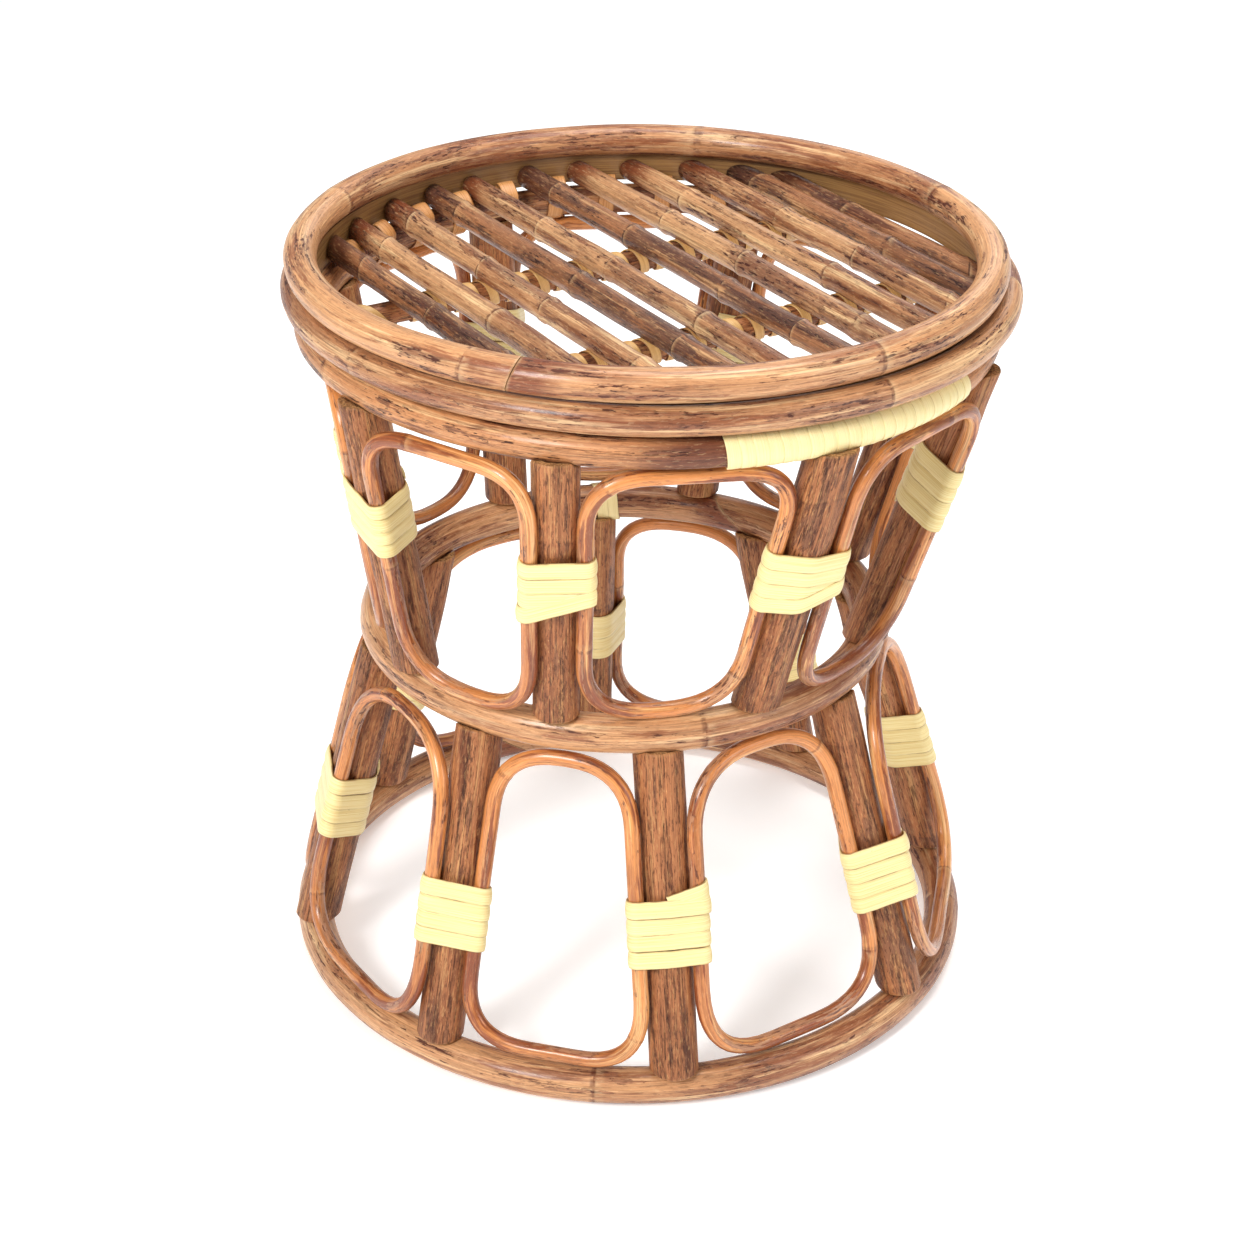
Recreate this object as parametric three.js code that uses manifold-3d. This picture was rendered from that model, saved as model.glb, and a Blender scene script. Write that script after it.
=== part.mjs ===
// A round cane stool, drawn in at the waist, in millimetres with +Z up.
// Five hoops of thick cane carry two tiers of leaning posts. A thin cane loop fills each bay between
// two posts, and a flat strip winds round each post and the two loop sides that lie against it.
// The seat is a row of canes on two battens, inside the middle hoop and under the top one.
import * as THREE from 'three';
import { mergeVertices } from 'three/addons/utils/BufferGeometryUtils.js';
import Module from 'manifold-3d';

const wasm = await Module();
wasm.setup();

// Overall height, and the air between two pieces that touch
const stoolHeight = 406;
const clearance = 0.3;

// Hoops: the radius of each ring, measured to the middle of its cane.
// The middle hoop stands out past the top one, and the rim hoop is set back under the middle one.
const topRing = 172.7;
const middleStandOut = 6.3;
const rimSetBack = 8.6;
const middleRing = topRing + middleStandOut;
const rimRing = middleRing - rimSetBack;
const waistRing = 131.2;
const baseRing = 177.4;

// Hoops: the radius of the cane of each
const topCane = 8.75;
const middleCane = 7.7;
const rimCane = 8.1;
const waistCane = 9.75;
const baseCane = 10.1;

// The bent hoops do not share one axis: how far each ring lies off the base ring's axis
const topSway = new THREE.Vector2(4.6, -2.2);
const middleSway = new THREE.Vector2(7, 3);
const rimSway = new THREE.Vector2(5.6, -1.2);
const waistSway = new THREE.Vector2(-4.7, -2.5);

// Height of the waist hoop's middle
const waistHeight = 192.8;

// Posts: radius, girth of each as a share of it, and bearing of each, clockwise from the front
const postRadius = 12.4;
const upperBearings = [-106, -52, -14, 30, 70.5, 112, 162, 211];
const lowerBearings = [-76, -33, 8, 55, 103, 145, 188, 236];
const upperGirthShares = [1, 0.98, 0.94, 1.03, 0.97, 1, 0.98, 1];
const lowerGirthShares = [1, 1, 1.04, 1, 0.96, 0.98, 1, 1];

// Posts: how far the hoop above sinks into each post head, as a share of its cane's radius,
// and how far head and foot stand outside the middle of the hoop's cane
const copeShare = 0.42;
const upperHeadOut = 0.6;
const upperFootOut = 1.8;
const lowerHeadOut = -1.2;
const lowerFootOut = -0.4;

// Loops: radius of the thin cane, and the size of the rounded corners as a share of the loop's width
const loopCane = 3.9;
const upperTopCornerShare = 0.29;
const upperBottomCornerShare = 0.46;
const lowerTopCornerShare = 0.46;
const lowerBottomCornerShare = 0.37;

// Loops: how far round its post, from the side that faces out, the left side of each loop lies,
// and the same for its right side on the next post
const upperLoopTurns = [
  [73, -73],
  [52, -35],
  [72, -84],
  [60, -52],
  [73.5, -74],
  [66, -66],
  [65, -65],
  [65, -65],
];
const lowerLoopTurns = [
  [56, -22],
  [76, -65],
  [59, -85],
  [13, -45],
  [64, -65],
  [62, -62],
  [64, -64],
  [64, -64],
];

// Flat strip: width and thickness, and the air between two turns of a binding
const stripWidth = 8.2;
const stripThickness = 0.7;
const turnGap = 0.5;
const bindingTurns = 4;

// How far a corner of the faceted band may stand off the round that it passes
const bandSlack = 0.9;

// Height of each binding, as a share of its post
const upperBindingShares = [0.42, 0.61, 0.57, 0.55, 0.6, 0.55, 0.52, 0.55];
const lowerBindingShares = [0.46, 0.42, 0.46, 0.42, 0.45, 0.47, 0.45, 0.45];

// Wraps of narrower strip on the rim hoop and on the waist hoop: bearing of each end
const wrapStripWidth = 6.4;
const rimWrapBearings = [11, 60];
const waistWrapBearings = [180, 190];

// Seat canes: radius, direction of their run in plan, and the place of each across the seat
const slatRadius = 6.4;
const slatRun = -57.6;
const slatPlaceShares = [-0.7, -0.565, -0.39, -0.215, -0.06, 0.14, 0.31, 0.475, 0.64, 0.76, 0.85];

// Battens under the seat canes: radius, place of each along the seat, and depth of their notches
const battenRadius = 6;
const battenPlaceShares = [-0.33, 0.33];
const notchDepth = 0.8;

// Number of flats of each section and of steps round each ring
const hoopSteps = 40;
const hoopSides = 8;
const postSides = 10;
const loopSides = 6;
const cornerSteps = 4;
const slatSides = 8;

const colours = {
  hoop: new THREE.MeshStandardMaterial({ color: 0xc08a5c, roughness: 0.55, metalness: 0 }),
  post: new THREE.MeshStandardMaterial({ color: 0xa9774d, roughness: 0.62, metalness: 0 }),
  loop: new THREE.MeshStandardMaterial({ color: 0xb97238, roughness: 0.4, metalness: 0 }),
  strip: new THREE.MeshStandardMaterial({ color: 0xf2e39c, roughness: 0.48, metalness: 0 }),
  slat: new THREE.MeshStandardMaterial({ color: 0xae8460, roughness: 0.6, metalness: 0 }),
};

const up = new THREE.Vector3(0, 0, 1);
const stool = new THREE.Group();

// Room that a strip needs between two canes
const stripRoom = stripThickness + 2 * clearance;

// Each hoop's height follows from the ones that it lies on
const topHeight = stoolHeight - topCane;
const middleHeight = topHeight - topCane - middleCane - clearance;
const rimHeight = middleHeight - middleCane - rimCane - stripRoom;

const noSway = new THREE.Vector2(0, 0);
const noWrap = [];
const topHoop = { ring: topRing, cane: topCane, height: topHeight, sway: topSway, wrap: noWrap };
const middleHoop = {
  ring: middleRing,
  cane: middleCane,
  height: middleHeight,
  sway: middleSway,
  wrap: noWrap,
};
const rimHoop = {
  ring: rimRing,
  cane: rimCane,
  height: rimHeight,
  sway: rimSway,
  wrap: rimWrapBearings,
};
const waistHoop = {
  ring: waistRing,
  cane: waistCane,
  height: waistHeight,
  sway: waistSway,
  wrap: waistWrapBearings,
};
const baseHoop = { ring: baseRing, cane: baseCane, height: baseCane, sway: noSway, wrap: noWrap };

// Unit vector in plan for a bearing in degrees, 0 at the front and 90 on the right
function outward(bearing) {
  const angle = THREE.MathUtils.degToRad(bearing);
  return new THREE.Vector3(Math.sin(angle), -Math.cos(angle), 0);
}

// Radius of a ring that is bent in flat steps, at a bearing between two of its corners
function steppedRing(ring, bearing) {
  const step = 360 / hoopSteps;
  const half = THREE.MathUtils.degToRad(step / 2);
  const past = THREE.MathUtils.degToRad(THREE.MathUtils.euclideanModulo(bearing, step));
  return ring * Math.cos(half) / Math.cos(past - half);
}

// Point at a bearing of a hoop, at a given distance outside its cane's middle
function onHoop(hoop, bearing, out, height) {
  const point = outward(bearing).multiplyScalar(steppedRing(hoop.ring, bearing) + out);
  point.x += hoop.sway.x;
  point.y += hoop.sway.y;
  point.z = height;
  return point;
}

function addMesh(name, geometry, material) {
  const mesh = new THREE.Mesh(geometry, material);
  mesh.name = name;
  stool.add(mesh);
  return mesh;
}

// Closed mesh to solid and back, for cutting and joining
function solidOf(geometry) {
  const bare = geometry.clone();
  bare.deleteAttribute('normal');
  bare.deleteAttribute('uv');
  const merged = mergeVertices(bare, clearance / 100);
  return new wasm.Manifold(new wasm.Mesh({
    numProp: 3,
    vertProperties: new Float32Array(merged.attributes.position.array),
    triVerts: new Uint32Array(merged.index.array),
  }));
}

function geometryOf(solid) {
  const mesh = solid.getMesh();
  const geometry = new THREE.BufferGeometry();
  geometry.setAttribute('position', new THREE.BufferAttribute(mesh.vertProperties, 3));
  geometry.setIndex(new THREE.BufferAttribute(mesh.triVerts, 1));
  geometry.computeVertexNormals();
  return geometry;
}

// Mesh through a row of sections with the same number of points each.
// A row that closes on itself makes a ring, and an open one gets two flat ends.
function loft(sections, closed) {
  const count = sections[0].length;
  const positions = sections.flat().flatMap((point) => point.toArray());
  const faces = [];
  const spans = closed ? sections.length : sections.length - 1;
  for (let i = 0; i < spans; i += 1) {
    const a = i * count;
    const b = ((i + 1) % sections.length) * count;
    for (let j = 0; j < count; j += 1) {
      const k = (j + 1) % count;
      faces.push(a + j, a + k, b + k);
      faces.push(a + j, b + k, b + j);
    }
  }
  if (!closed) {
    const last = (sections.length - 1) * count;
    for (let j = 1; j < count - 1; j += 1) {
      faces.push(0, j + 1, j);
      faces.push(last, last + j, last + j + 1);
    }
  }
  const geometry = new THREE.BufferGeometry();
  geometry.setAttribute('position', new THREE.Float32BufferAttribute(positions, 3));
  geometry.setIndex(faces);
  geometry.computeVertexNormals();
  return geometry;
}

// Section of a cane with flat sides that touch its true circle, one of them facing down
function caneOutline(radius, sides) {
  const corner = radius / Math.cos(Math.PI / sides);
  const points = [];
  for (let i = 0; i <= sides; i += 1) {
    const angle = ((i % sides) + 0.5) * 2 * Math.PI / sides;
    points.push(new THREE.Vector2(corner * Math.cos(angle), corner * Math.sin(angle)));
  }
  return points;
}

// Ring of a given section about the hoop's own axis
function ringGeometry(hoop, outline) {
  const profile = outline.map((point) => new THREE.Vector2(hoop.ring + point.x, point.y));
  const geometry = new THREE.LatheGeometry(profile, hoopSteps);
  geometry.rotateX(Math.PI / 2);
  geometry.translate(hoop.sway.x, hoop.sway.y, hoop.height);
  return geometry;
}

function makeHoop(name, hoop) {
  addMesh(name, ringGeometry(hoop, caneOutline(hoop.cane, hoopSides)), colours.hoop);
}

makeHoop('top_hoop', topHoop);
makeHoop('middle_hoop', middleHoop);
makeHoop('rim_hoop', rimHoop);
makeHoop('waist_hoop', waistHoop);
makeHoop('base_hoop', baseHoop);

// A wrapped stretch of hoop keeps the room of its strip from what meets it
function coverAt(hoop, bearing, reach) {
  const [start, end] = hoop.wrap;
  const wrapped = bearing > start - reach && bearing < end + reach;
  return wrapped ? stripRoom : clearance;
}

const widestGirthShare = Math.max(...upperGirthShares, ...lowerGirthShares);

// Angle at the hoop's axis over a length along its cane
function reachOn(hoop, length) {
  return THREE.MathUtils.radToDeg(length / hoop.ring);
}

// A leaning post stands on the hoop below and is coped round the hoop above
function makePost(name, tier, index) {
  const bearing = tier.bearings[index];
  const radius = postRadius * tier.girthShares[index];
  const reach = reachOn(waistHoop, postRadius * widestGirthShare);
  const cover = coverAt(tier.above, bearing, reach);
  const footLevel = tier.below.height + tier.below.cane + coverAt(tier.below, bearing, reach);
  const headLevel = tier.above.height - tier.above.cane * (1 - copeShare) - cover;
  const foot = onHoop(tier.below, bearing, tier.footOut, footLevel);
  const head = onHoop(tier.above, bearing, tier.headOut, headLevel);
  const length = headLevel - footLevel;
  const corner = radius / Math.cos(Math.PI / postSides);
  const shaft = new THREE.CylinderGeometry(corner, corner, length, postSides);
  shaft.rotateX(Math.PI / 2);
  shaft.translate(0, 0, length / 2);
  const lean = new THREE.Matrix4().set(
    1, 0, (head.x - foot.x) / length, foot.x,
    0, 1, (head.y - foot.y) / length, foot.y,
    0, 0, 1, footLevel,
    0, 0, 0, 1,
  );
  shaft.applyMatrix4(lean);
  const bulge = tier.above.ring - Math.sqrt(tier.above.ring ** 2 - corner ** 2);
  const cutterRadius = (tier.above.cane + cover + bulge) / Math.cos(Math.PI / hoopSides);
  const cutter = new THREE.CylinderGeometry(cutterRadius, cutterRadius, 4 * corner, hoopSides);
  cutter.rotateY(Math.PI / hoopSides);
  cutter.rotateZ(Math.PI / 2);
  cutter.rotateZ(THREE.MathUtils.degToRad(bearing));
  const middle = onHoop(tier.above, bearing, 0, tier.above.height);
  cutter.translate(middle.x, middle.y, middle.z);
  addMesh(name, geometryOf(solidOf(shaft).subtract(solidOf(cutter))), colours.post);
  return { foot, head, radius, bearing };
}

// Where the middle line of a post is at a given height
function postAt(post, height) {
  const share = (height - post.foot.z) / (post.head.z - post.foot.z);
  return new THREE.Vector3().lerpVectors(post.foot, post.head, share);
}

const upperTier = {
  name: 'upper',
  above: rimHoop,
  below: waistHoop,
  bearings: upperBearings,
  girthShares: upperGirthShares,
  headOut: upperHeadOut,
  footOut: upperFootOut,
  topCornerShare: upperTopCornerShare,
  bottomCornerShare: upperBottomCornerShare,
  loopTurns: upperLoopTurns,
  bindingShares: upperBindingShares,
};
const lowerTier = {
  name: 'lower',
  above: waistHoop,
  below: baseHoop,
  bearings: lowerBearings,
  girthShares: lowerGirthShares,
  headOut: lowerHeadOut,
  footOut: lowerFootOut,
  topCornerShare: lowerTopCornerShare,
  bottomCornerShare: lowerBottomCornerShare,
  loopTurns: lowerLoopTurns,
  bindingShares: lowerBindingShares,
};

// The straight side of a loop lies along its post, off the post's middle in a given bearing
function loopSide(post, bearing, bottomLevel, topLevel) {
  const postCorner = post.radius / Math.cos(Math.PI / postSides);
  const loopCorner = loopCane / Math.cos(Math.PI / loopSides);
  const touch = postCorner + loopCorner + clearance;
  const axis = post.head.clone().sub(post.foot).normalize();
  const tilt = axis.dot(outward(bearing));
  const off = outward(bearing).multiplyScalar(touch / Math.sqrt(1 - tilt ** 2));
  const at = (height) => postAt(post, height).add(off);
  return { bottom: at(bottomLevel), top: at(topLevel), at };
}

// Points of a closed outline with rounded corners
function roundedOutline(corners, sizes) {
  const points = [];
  corners.forEach((corner, i) => {
    const before = corners[(i + corners.length - 1) % corners.length];
    const after = corners[(i + 1) % corners.length];
    const start = corner.clone().add(before.clone().sub(corner).setLength(sizes[i]));
    const end = corner.clone().add(after.clone().sub(corner).setLength(sizes[i]));
    const bend = new THREE.QuadraticBezierCurve3(start, corner, end);
    points.push(...bend.getPoints(cornerSteps));
  });
  return points;
}

// Ring of thin cane along a closed outline
function ringAlong(points, normal, radius, sides) {
  const corner = radius / Math.cos(Math.PI / sides);
  const sections = points.map((point, i) => {
    const before = points[(i + points.length - 1) % points.length];
    const after = points[(i + 1) % points.length];
    const sideways = normal.clone().cross(after.clone().sub(before)).normalize();
    const section = [];
    for (let j = 0; j < sides; j += 1) {
      const angle = (j + 0.5) * 2 * Math.PI / sides;
      section.push(point.clone()
        .addScaledVector(sideways, corner * Math.cos(angle))
        .addScaledVector(normal, corner * Math.sin(angle)));
    }
    return section;
  });
  return loft(sections, true);
}

// A loop stands in the bay between two posts, from the hoop below to the hoop above
function makeLoop(name, tier, left, right, turns) {
  const turn = THREE.MathUtils.euclideanModulo(right.bearing - left.bearing, 360);
  const bearing = left.bearing + turn / 2;
  const corner = loopCane / Math.cos(Math.PI / loopSides);
  const cover = coverAt(tier.above, bearing, turn / 2);
  const topLevel = tier.above.height - tier.above.cane - cover - corner;
  const lift = coverAt(tier.below, bearing, turn / 2);
  const bottomLevel = tier.below.height + tier.below.cane + lift + corner;
  const [leftTurn, rightTurn] = turns;
  const leftSide = loopSide(left, left.bearing + leftTurn, bottomLevel, topLevel);
  const rightSide = loopSide(right, right.bearing + rightTurn, bottomLevel, topLevel);
  const corners = [leftSide.top, rightSide.top, rightSide.bottom, leftSide.bottom];
  const topSize = tier.topCornerShare * leftSide.top.distanceTo(rightSide.top);
  const bottomSize = tier.bottomCornerShare * leftSide.bottom.distanceTo(rightSide.bottom);
  const sizes = [topSize, topSize, bottomSize, bottomSize];
  const points = roundedOutline(corners, sizes);
  const rise = leftSide.top.clone().sub(rightSide.bottom);
  const fall = rightSide.top.clone().sub(leftSide.bottom);
  const normal = fall.cross(rise).normalize();
  addMesh(name, ringAlong(points, normal, loopCane, loopSides), colours.loop);
  return { leftSide, rightSide };
}

// Direction of the straight run of a band that passes from one circle to the next, anticlockwise
function runDirection(from, to) {
  const apart = to.middle.clone().sub(from.middle);
  return apart.angle() - Math.PI / 2 + Math.asin((from.radius - to.radius) / apart.length());
}

// Circles that a tight band touches, anticlockwise: the post's front too, where it stands out
function touchedCircles(post, right, left) {
  const angle = runDirection(right, left);
  const direction = new THREE.Vector2(Math.cos(angle), Math.sin(angle));
  const front = right.middle.clone().sub(post.middle).dot(direction) + right.radius;
  return post.radius > front ? [post, right, post, left] : [post, right, left];
}

// Corners of a tight band round circles that are listed anticlockwise
function bandCorners(circles) {
  const corners = [];
  circles.forEach((circle, i) => {
    const before = circles[(i + circles.length - 1) % circles.length];
    const after = circles[(i + 1) % circles.length];
    const start = runDirection(before, circle);
    const sweep = THREE.MathUtils.euclideanModulo(runDirection(circle, after) - start, 2 * Math.PI);
    const widestStep = 2 * Math.acos(circle.radius / (circle.radius + bandSlack));
    const steps = Math.ceil(sweep / widestStep);
    const step = sweep / steps;
    const corner = circle.radius / Math.cos(step / 2);
    for (let j = 0; j <= steps; j += 1) {
      const direction = new THREE.Vector2(Math.cos(start + j * step), Math.sin(start + j * step));
      corners.push({ point: circle.middle.clone().addScaledVector(direction, corner), direction });
    }
  });
  return corners;
}

// Least distance between points of a winding that are at least half a turn apart
function leastGap(sections, perTurn) {
  let least = Infinity;
  const rows = sections.map((section) => {
    const middle = (a, b) => new THREE.Vector3().addVectors(section[a], section[b]).multiplyScalar(0.5);
    return [...section, middle(0, 1), middle(1, 2), middle(2, 3), middle(3, 0)];
  });
  rows.forEach((row, i) => {
    for (let j = i + Math.ceil(perTurn / 2); j < rows.length; j += 1) {
      for (const a of row) {
        for (const b of rows[j]) least = Math.min(least, a.distanceTo(b));
      }
    }
  });
  return least;
}

const gapsOfWindings = {};

// A binding is one strip wound round a post and the loop sides on its two flanks
function makeBinding(name, tier, post, share, leftLoop, rightLoop) {
  const axis = post.head.clone().sub(post.foot).normalize();
  const height = post.foot.z + share * (post.head.z - post.foot.z);
  const middle = postAt(post, height);
  const across = new THREE.Vector3().crossVectors(up, outward(post.bearing)).normalize();
  const out = new THREE.Vector3().crossVectors(across, axis).normalize();
  const pitch = stripWidth + turnGap;
  const halfHeight = (pitch * bindingTurns + stripWidth) / 2;
  const inPlane = (point) => {
    const offset = point.clone().sub(middle);
    return new THREE.Vector2(offset.dot(across), offset.dot(out));
  };
  const loopCircle = (side) => ({
    middle: inPlane(side.at(height)),
    radius: loopCane / Math.cos(Math.PI / loopSides) + clearance,
  });
  const postCircle = {
    middle: new THREE.Vector2(0, 0),
    radius: post.radius / Math.cos(Math.PI / postSides) + clearance,
  };
  const corners = bandCorners(touchedCircles(
    postCircle,
    loopCircle(rightLoop.leftSide),
    loopCircle(leftLoop.rightSide),
  ));
  const total = bindingTurns * corners.length;
  const sections = [];
  for (let i = 0; i <= total; i += 1) {
    const { point, direction } = corners[i % corners.length];
    const lift = pitch * (i / corners.length - bindingTurns / 2);
    const onBand = (thickness, width) => middle.clone()
      .addScaledVector(across, point.x + thickness * direction.x)
      .addScaledVector(out, point.y + thickness * direction.y)
      .addScaledVector(axis, lift + width);
    sections.push([
      onBand(0, -stripWidth / 2),
      onBand(stripThickness, -stripWidth / 2),
      onBand(stripThickness, stripWidth / 2),
      onBand(0, stripWidth / 2),
    ]);
  }
  gapsOfWindings[name] = leastGap(sections, corners.length);
  addMesh(name, loft(sections, false), colours.strip);
}

// A wrap is one strip wound round a stretch of hoop
function makeWrap(name, hoop) {
  const [start, end] = hoop.wrap;
  const length = hoop.ring * THREE.MathUtils.degToRad(end - start);
  const inside = hoop.ring - hoop.cane - stripRoom;
  const turns = Math.max(1, Math.floor(length / (wrapStripWidth + turnGap * hoop.ring / inside) - 1));
  const pitch = (end - start) / (turns + 1);
  const total = turns * hoopSides;
  const sections = [];
  for (let i = 0; i <= total; i += 1) {
    const roll = (i + 0.5) * 2 * Math.PI / hoopSides;
    const bearing = start + pitch * (0.5 + i / hoopSides);
    const half = THREE.MathUtils.radToDeg(wrapStripWidth / 2 / hoop.ring);
    const round = (radius, turn) => onHoop(
      hoop,
      bearing + turn,
      radius * Math.cos(roll) / Math.cos(Math.PI / hoopSides),
      hoop.height + radius * Math.sin(roll) / Math.cos(Math.PI / hoopSides),
    );
    const inner = hoop.cane + clearance;
    const outer = inner + stripThickness;
    sections.push([round(inner, -half), round(outer, -half), round(outer, half), round(inner, half)]);
  }
  gapsOfWindings[name] = leastGap(sections, hoopSides);
  addMesh(name, loft(sections, false), colours.strip);
}

function makeTier(tier) {
  const count = tier.bearings.length;
  const posts = tier.bearings.map((_, i) => makePost(`${tier.name}_post_${i + 1}`, tier, i));
  const loops = posts.map((post, i) => {
    const next = posts[(i + 1) % count];
    return makeLoop(`${tier.name}_loop_${i + 1}`, tier, post, next, tier.loopTurns[i]);
  });
  posts.forEach((post, i) => {
    const leftLoop = loops[(i + count - 1) % count];
    makeBinding(`${tier.name}_binding_${i + 1}`, tier, post, tier.bindingShares[i], leftLoop, loops[i]);
  });
}

makeTier(upperTier);
makeTier(lowerTier);
makeWrap('rim_wrap', rimHoop);
makeWrap('waist_wrap', waistHoop);

// A flat strip lines the middle hoop, between the rim hoop and the top hoop
const liningOutside = -(middleCane + clearance);
const liningInside = liningOutside - stripThickness;
const liningBottom = rimHeight + rimCane + stripRoom - middleHeight;
const liningTop = topHeight - topCane - clearance - middleHeight;
const liningOutline = [
  new THREE.Vector2(liningOutside, liningBottom),
  new THREE.Vector2(liningOutside, liningTop),
  new THREE.Vector2(liningInside, liningTop),
  new THREE.Vector2(liningInside, liningBottom),
  new THREE.Vector2(liningOutside, liningBottom),
];
addMesh('rim_lining', ringGeometry(middleHoop, liningOutline), colours.strip);

// A bar across the inside of a ring, at a distance from the ring's middle, ending at its inner face
function barAcross(inside, sway, run, place, height, radius) {
  const along = new THREE.Vector2(Math.cos(run), Math.sin(run));
  const sideways = new THREE.Vector2(-along.y, along.x);
  const corner = radius / Math.cos(Math.PI / slatSides);
  const reach = inside * Math.cos(Math.PI / hoopSteps) - clearance;
  const half = Math.sqrt(reach ** 2 - (Math.abs(place) + corner) ** 2);
  const bar = new THREE.CylinderGeometry(corner, corner, 2 * half, slatSides);
  bar.rotateY(Math.PI / slatSides);
  bar.rotateZ(-Math.PI / 2);
  bar.rotateZ(run);
  bar.translate(sway.x + sideways.x * place, sway.y + sideways.y * place, height);
  return solidOf(bar);
}

// The seat: canes side by side, nailed into notches of two battens that run across beneath them
const slatHeight = rimHeight + rimCane + stripRoom + slatRadius;
const battenHeight = slatHeight - slatRadius - battenRadius + notchDepth;
const slatsInside = middleRing + liningInside;
const battensInside = rimRing - rimCane / Math.cos(Math.PI / hoopSides);
const run = THREE.MathUtils.degToRad(slatRun);
const slats = slatPlaceShares.map((share) => barAcross(
  slatsInside,
  middleSway,
  run,
  share * slatsInside,
  slatHeight,
  slatRadius,
));
const battens = battenPlaceShares.map((share) => barAcross(
  battensInside,
  rimSway,
  run + Math.PI / 2,
  share * battensInside,
  battenHeight,
  battenRadius,
));
const seat = [...slats, ...battens].reduce((joined, bar) => joined.add(bar));
addMesh('seat_grid', geometryOf(seat), colours.slat);

for (const [name, gap] of Object.entries(gapsOfWindings)) {
  console.log(`${name}: least gap between turns ${gap.toFixed(2)} mm`);
}

// The origin is on the floor, under the middle of the whole stool
const bounds = new THREE.Box3().setFromObject(stool, true);
const centre = bounds.getCenter(new THREE.Vector3());
stool.position.set(-centre.x, -centre.y, 0);

export default stool;
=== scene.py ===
import random
from collections import namedtuple
from math import asin, atan2, ceil, cos, degrees, pi, radians, sin, sqrt

import bpy
from mathutils import Matrix, Vector


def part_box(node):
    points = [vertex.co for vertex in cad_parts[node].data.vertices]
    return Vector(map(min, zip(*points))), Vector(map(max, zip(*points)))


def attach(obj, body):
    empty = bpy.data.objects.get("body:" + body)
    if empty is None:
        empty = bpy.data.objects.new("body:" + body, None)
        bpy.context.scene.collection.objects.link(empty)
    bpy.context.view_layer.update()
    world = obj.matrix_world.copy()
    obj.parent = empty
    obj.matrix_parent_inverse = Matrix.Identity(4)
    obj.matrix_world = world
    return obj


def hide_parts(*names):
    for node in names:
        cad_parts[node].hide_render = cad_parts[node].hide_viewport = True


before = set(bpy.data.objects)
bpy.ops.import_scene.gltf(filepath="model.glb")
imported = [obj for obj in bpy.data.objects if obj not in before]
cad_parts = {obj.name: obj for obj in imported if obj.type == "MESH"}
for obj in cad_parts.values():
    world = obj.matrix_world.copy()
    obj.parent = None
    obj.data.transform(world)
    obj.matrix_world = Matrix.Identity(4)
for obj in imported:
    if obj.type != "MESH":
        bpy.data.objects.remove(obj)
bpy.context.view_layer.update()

MM = 0.001
UP = Vector((0, 0, 1))
scene = bpy.context.scene

# Sizes of the stool, in millimetres. A bearing is 0 at the front and 90 on the right.
STOOL_HEIGHT = 406
CLEARANCE = 0.3
STRIP_THICKNESS = 0.7
STRIP_ROOM = STRIP_THICKNESS + 2 * CLEARANCE

TOP_CANE = 8.75
MIDDLE_CANE = 7.7
RIM_CANE = 8.1
WAIST_CANE = 9.75
BASE_CANE = 10.1
TOP_HEIGHT = STOOL_HEIGHT - TOP_CANE
MIDDLE_HEIGHT = TOP_HEIGHT - TOP_CANE - MIDDLE_CANE - CLEARANCE
RIM_HEIGHT = MIDDLE_HEIGHT - MIDDLE_CANE - RIM_CANE - STRIP_ROOM
WAIST_HEIGHT = 192.8
HOOP_GAP = 0.5

# Stretches of hoop under the wound strip, from one bearing to another
RIM_WRAP = (11, 60)
WAIST_WRAP = (180, 190)
WRAP_WIDTH = 6.9
WRAP_SLIP = 0.12
WRAP_SPACING = 0.93

POST_RADIUS = 12.4
COPE_SHARE = 0.42
UPPER_BEARINGS = [-106, -52, -14, 30, 70.5, 112, 162, 211]
LOWER_BEARINGS = [-76, -33, 8, 55, 103, 145, 188, 236]
UPPER_GIRTHS = [1, 0.98, 0.94, 1.03, 0.97, 1, 0.98, 1]
LOWER_GIRTHS = [1, 1, 1.04, 1, 0.96, 0.98, 1, 1]

LOOP_CANE = 4.1
LOOP_AIR = 0.45
LOOP_GAP = 0.3
# How far round its post each loop's left side lies, and how far round the next post its right side
UPPER_LOOP_TURNS = [
    (73, -73), (52, -35), (72, -84), (60, -52), (73.5, -74), (66, -66), (65, -65), (65, -65),
]
LOWER_LOOP_TURNS = [
    (56, -22), (76, -65), (59, -85), (13, -45), (64, -65), (62, -62), (64, -64), (64, -64),
]

# Where each binding is, as a share of its post's height
UPPER_BINDING_PLACES = [0.42, 0.61, 0.57, 0.55, 0.6, 0.55, 0.52, 0.55]
LOWER_BINDING_PLACES = [0.46, 0.42, 0.46, 0.42, 0.45, 0.47, 0.45, 0.45]
TURN_PITCH = 8.7

SLAT_RADIUS = 6.4
SLAT_RUN = radians(-57.6)
SLAT_PLACES = [-0.7, -0.565, -0.39, -0.215, -0.06, 0.14, 0.31, 0.475, 0.64, 0.76, 0.85]
DARK_SLATS = (0, 3, 5, 9, 10)
BATTEN_RADIUS = 6
BATTEN_PLACES = [-0.33, 0.33]
NOTCH_DEPTH = 0.8

base_low, base_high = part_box("base_hoop")
BASE_CENTRE = ((Vector(base_low) + Vector(base_high)) / 2 / MM).xy


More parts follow.
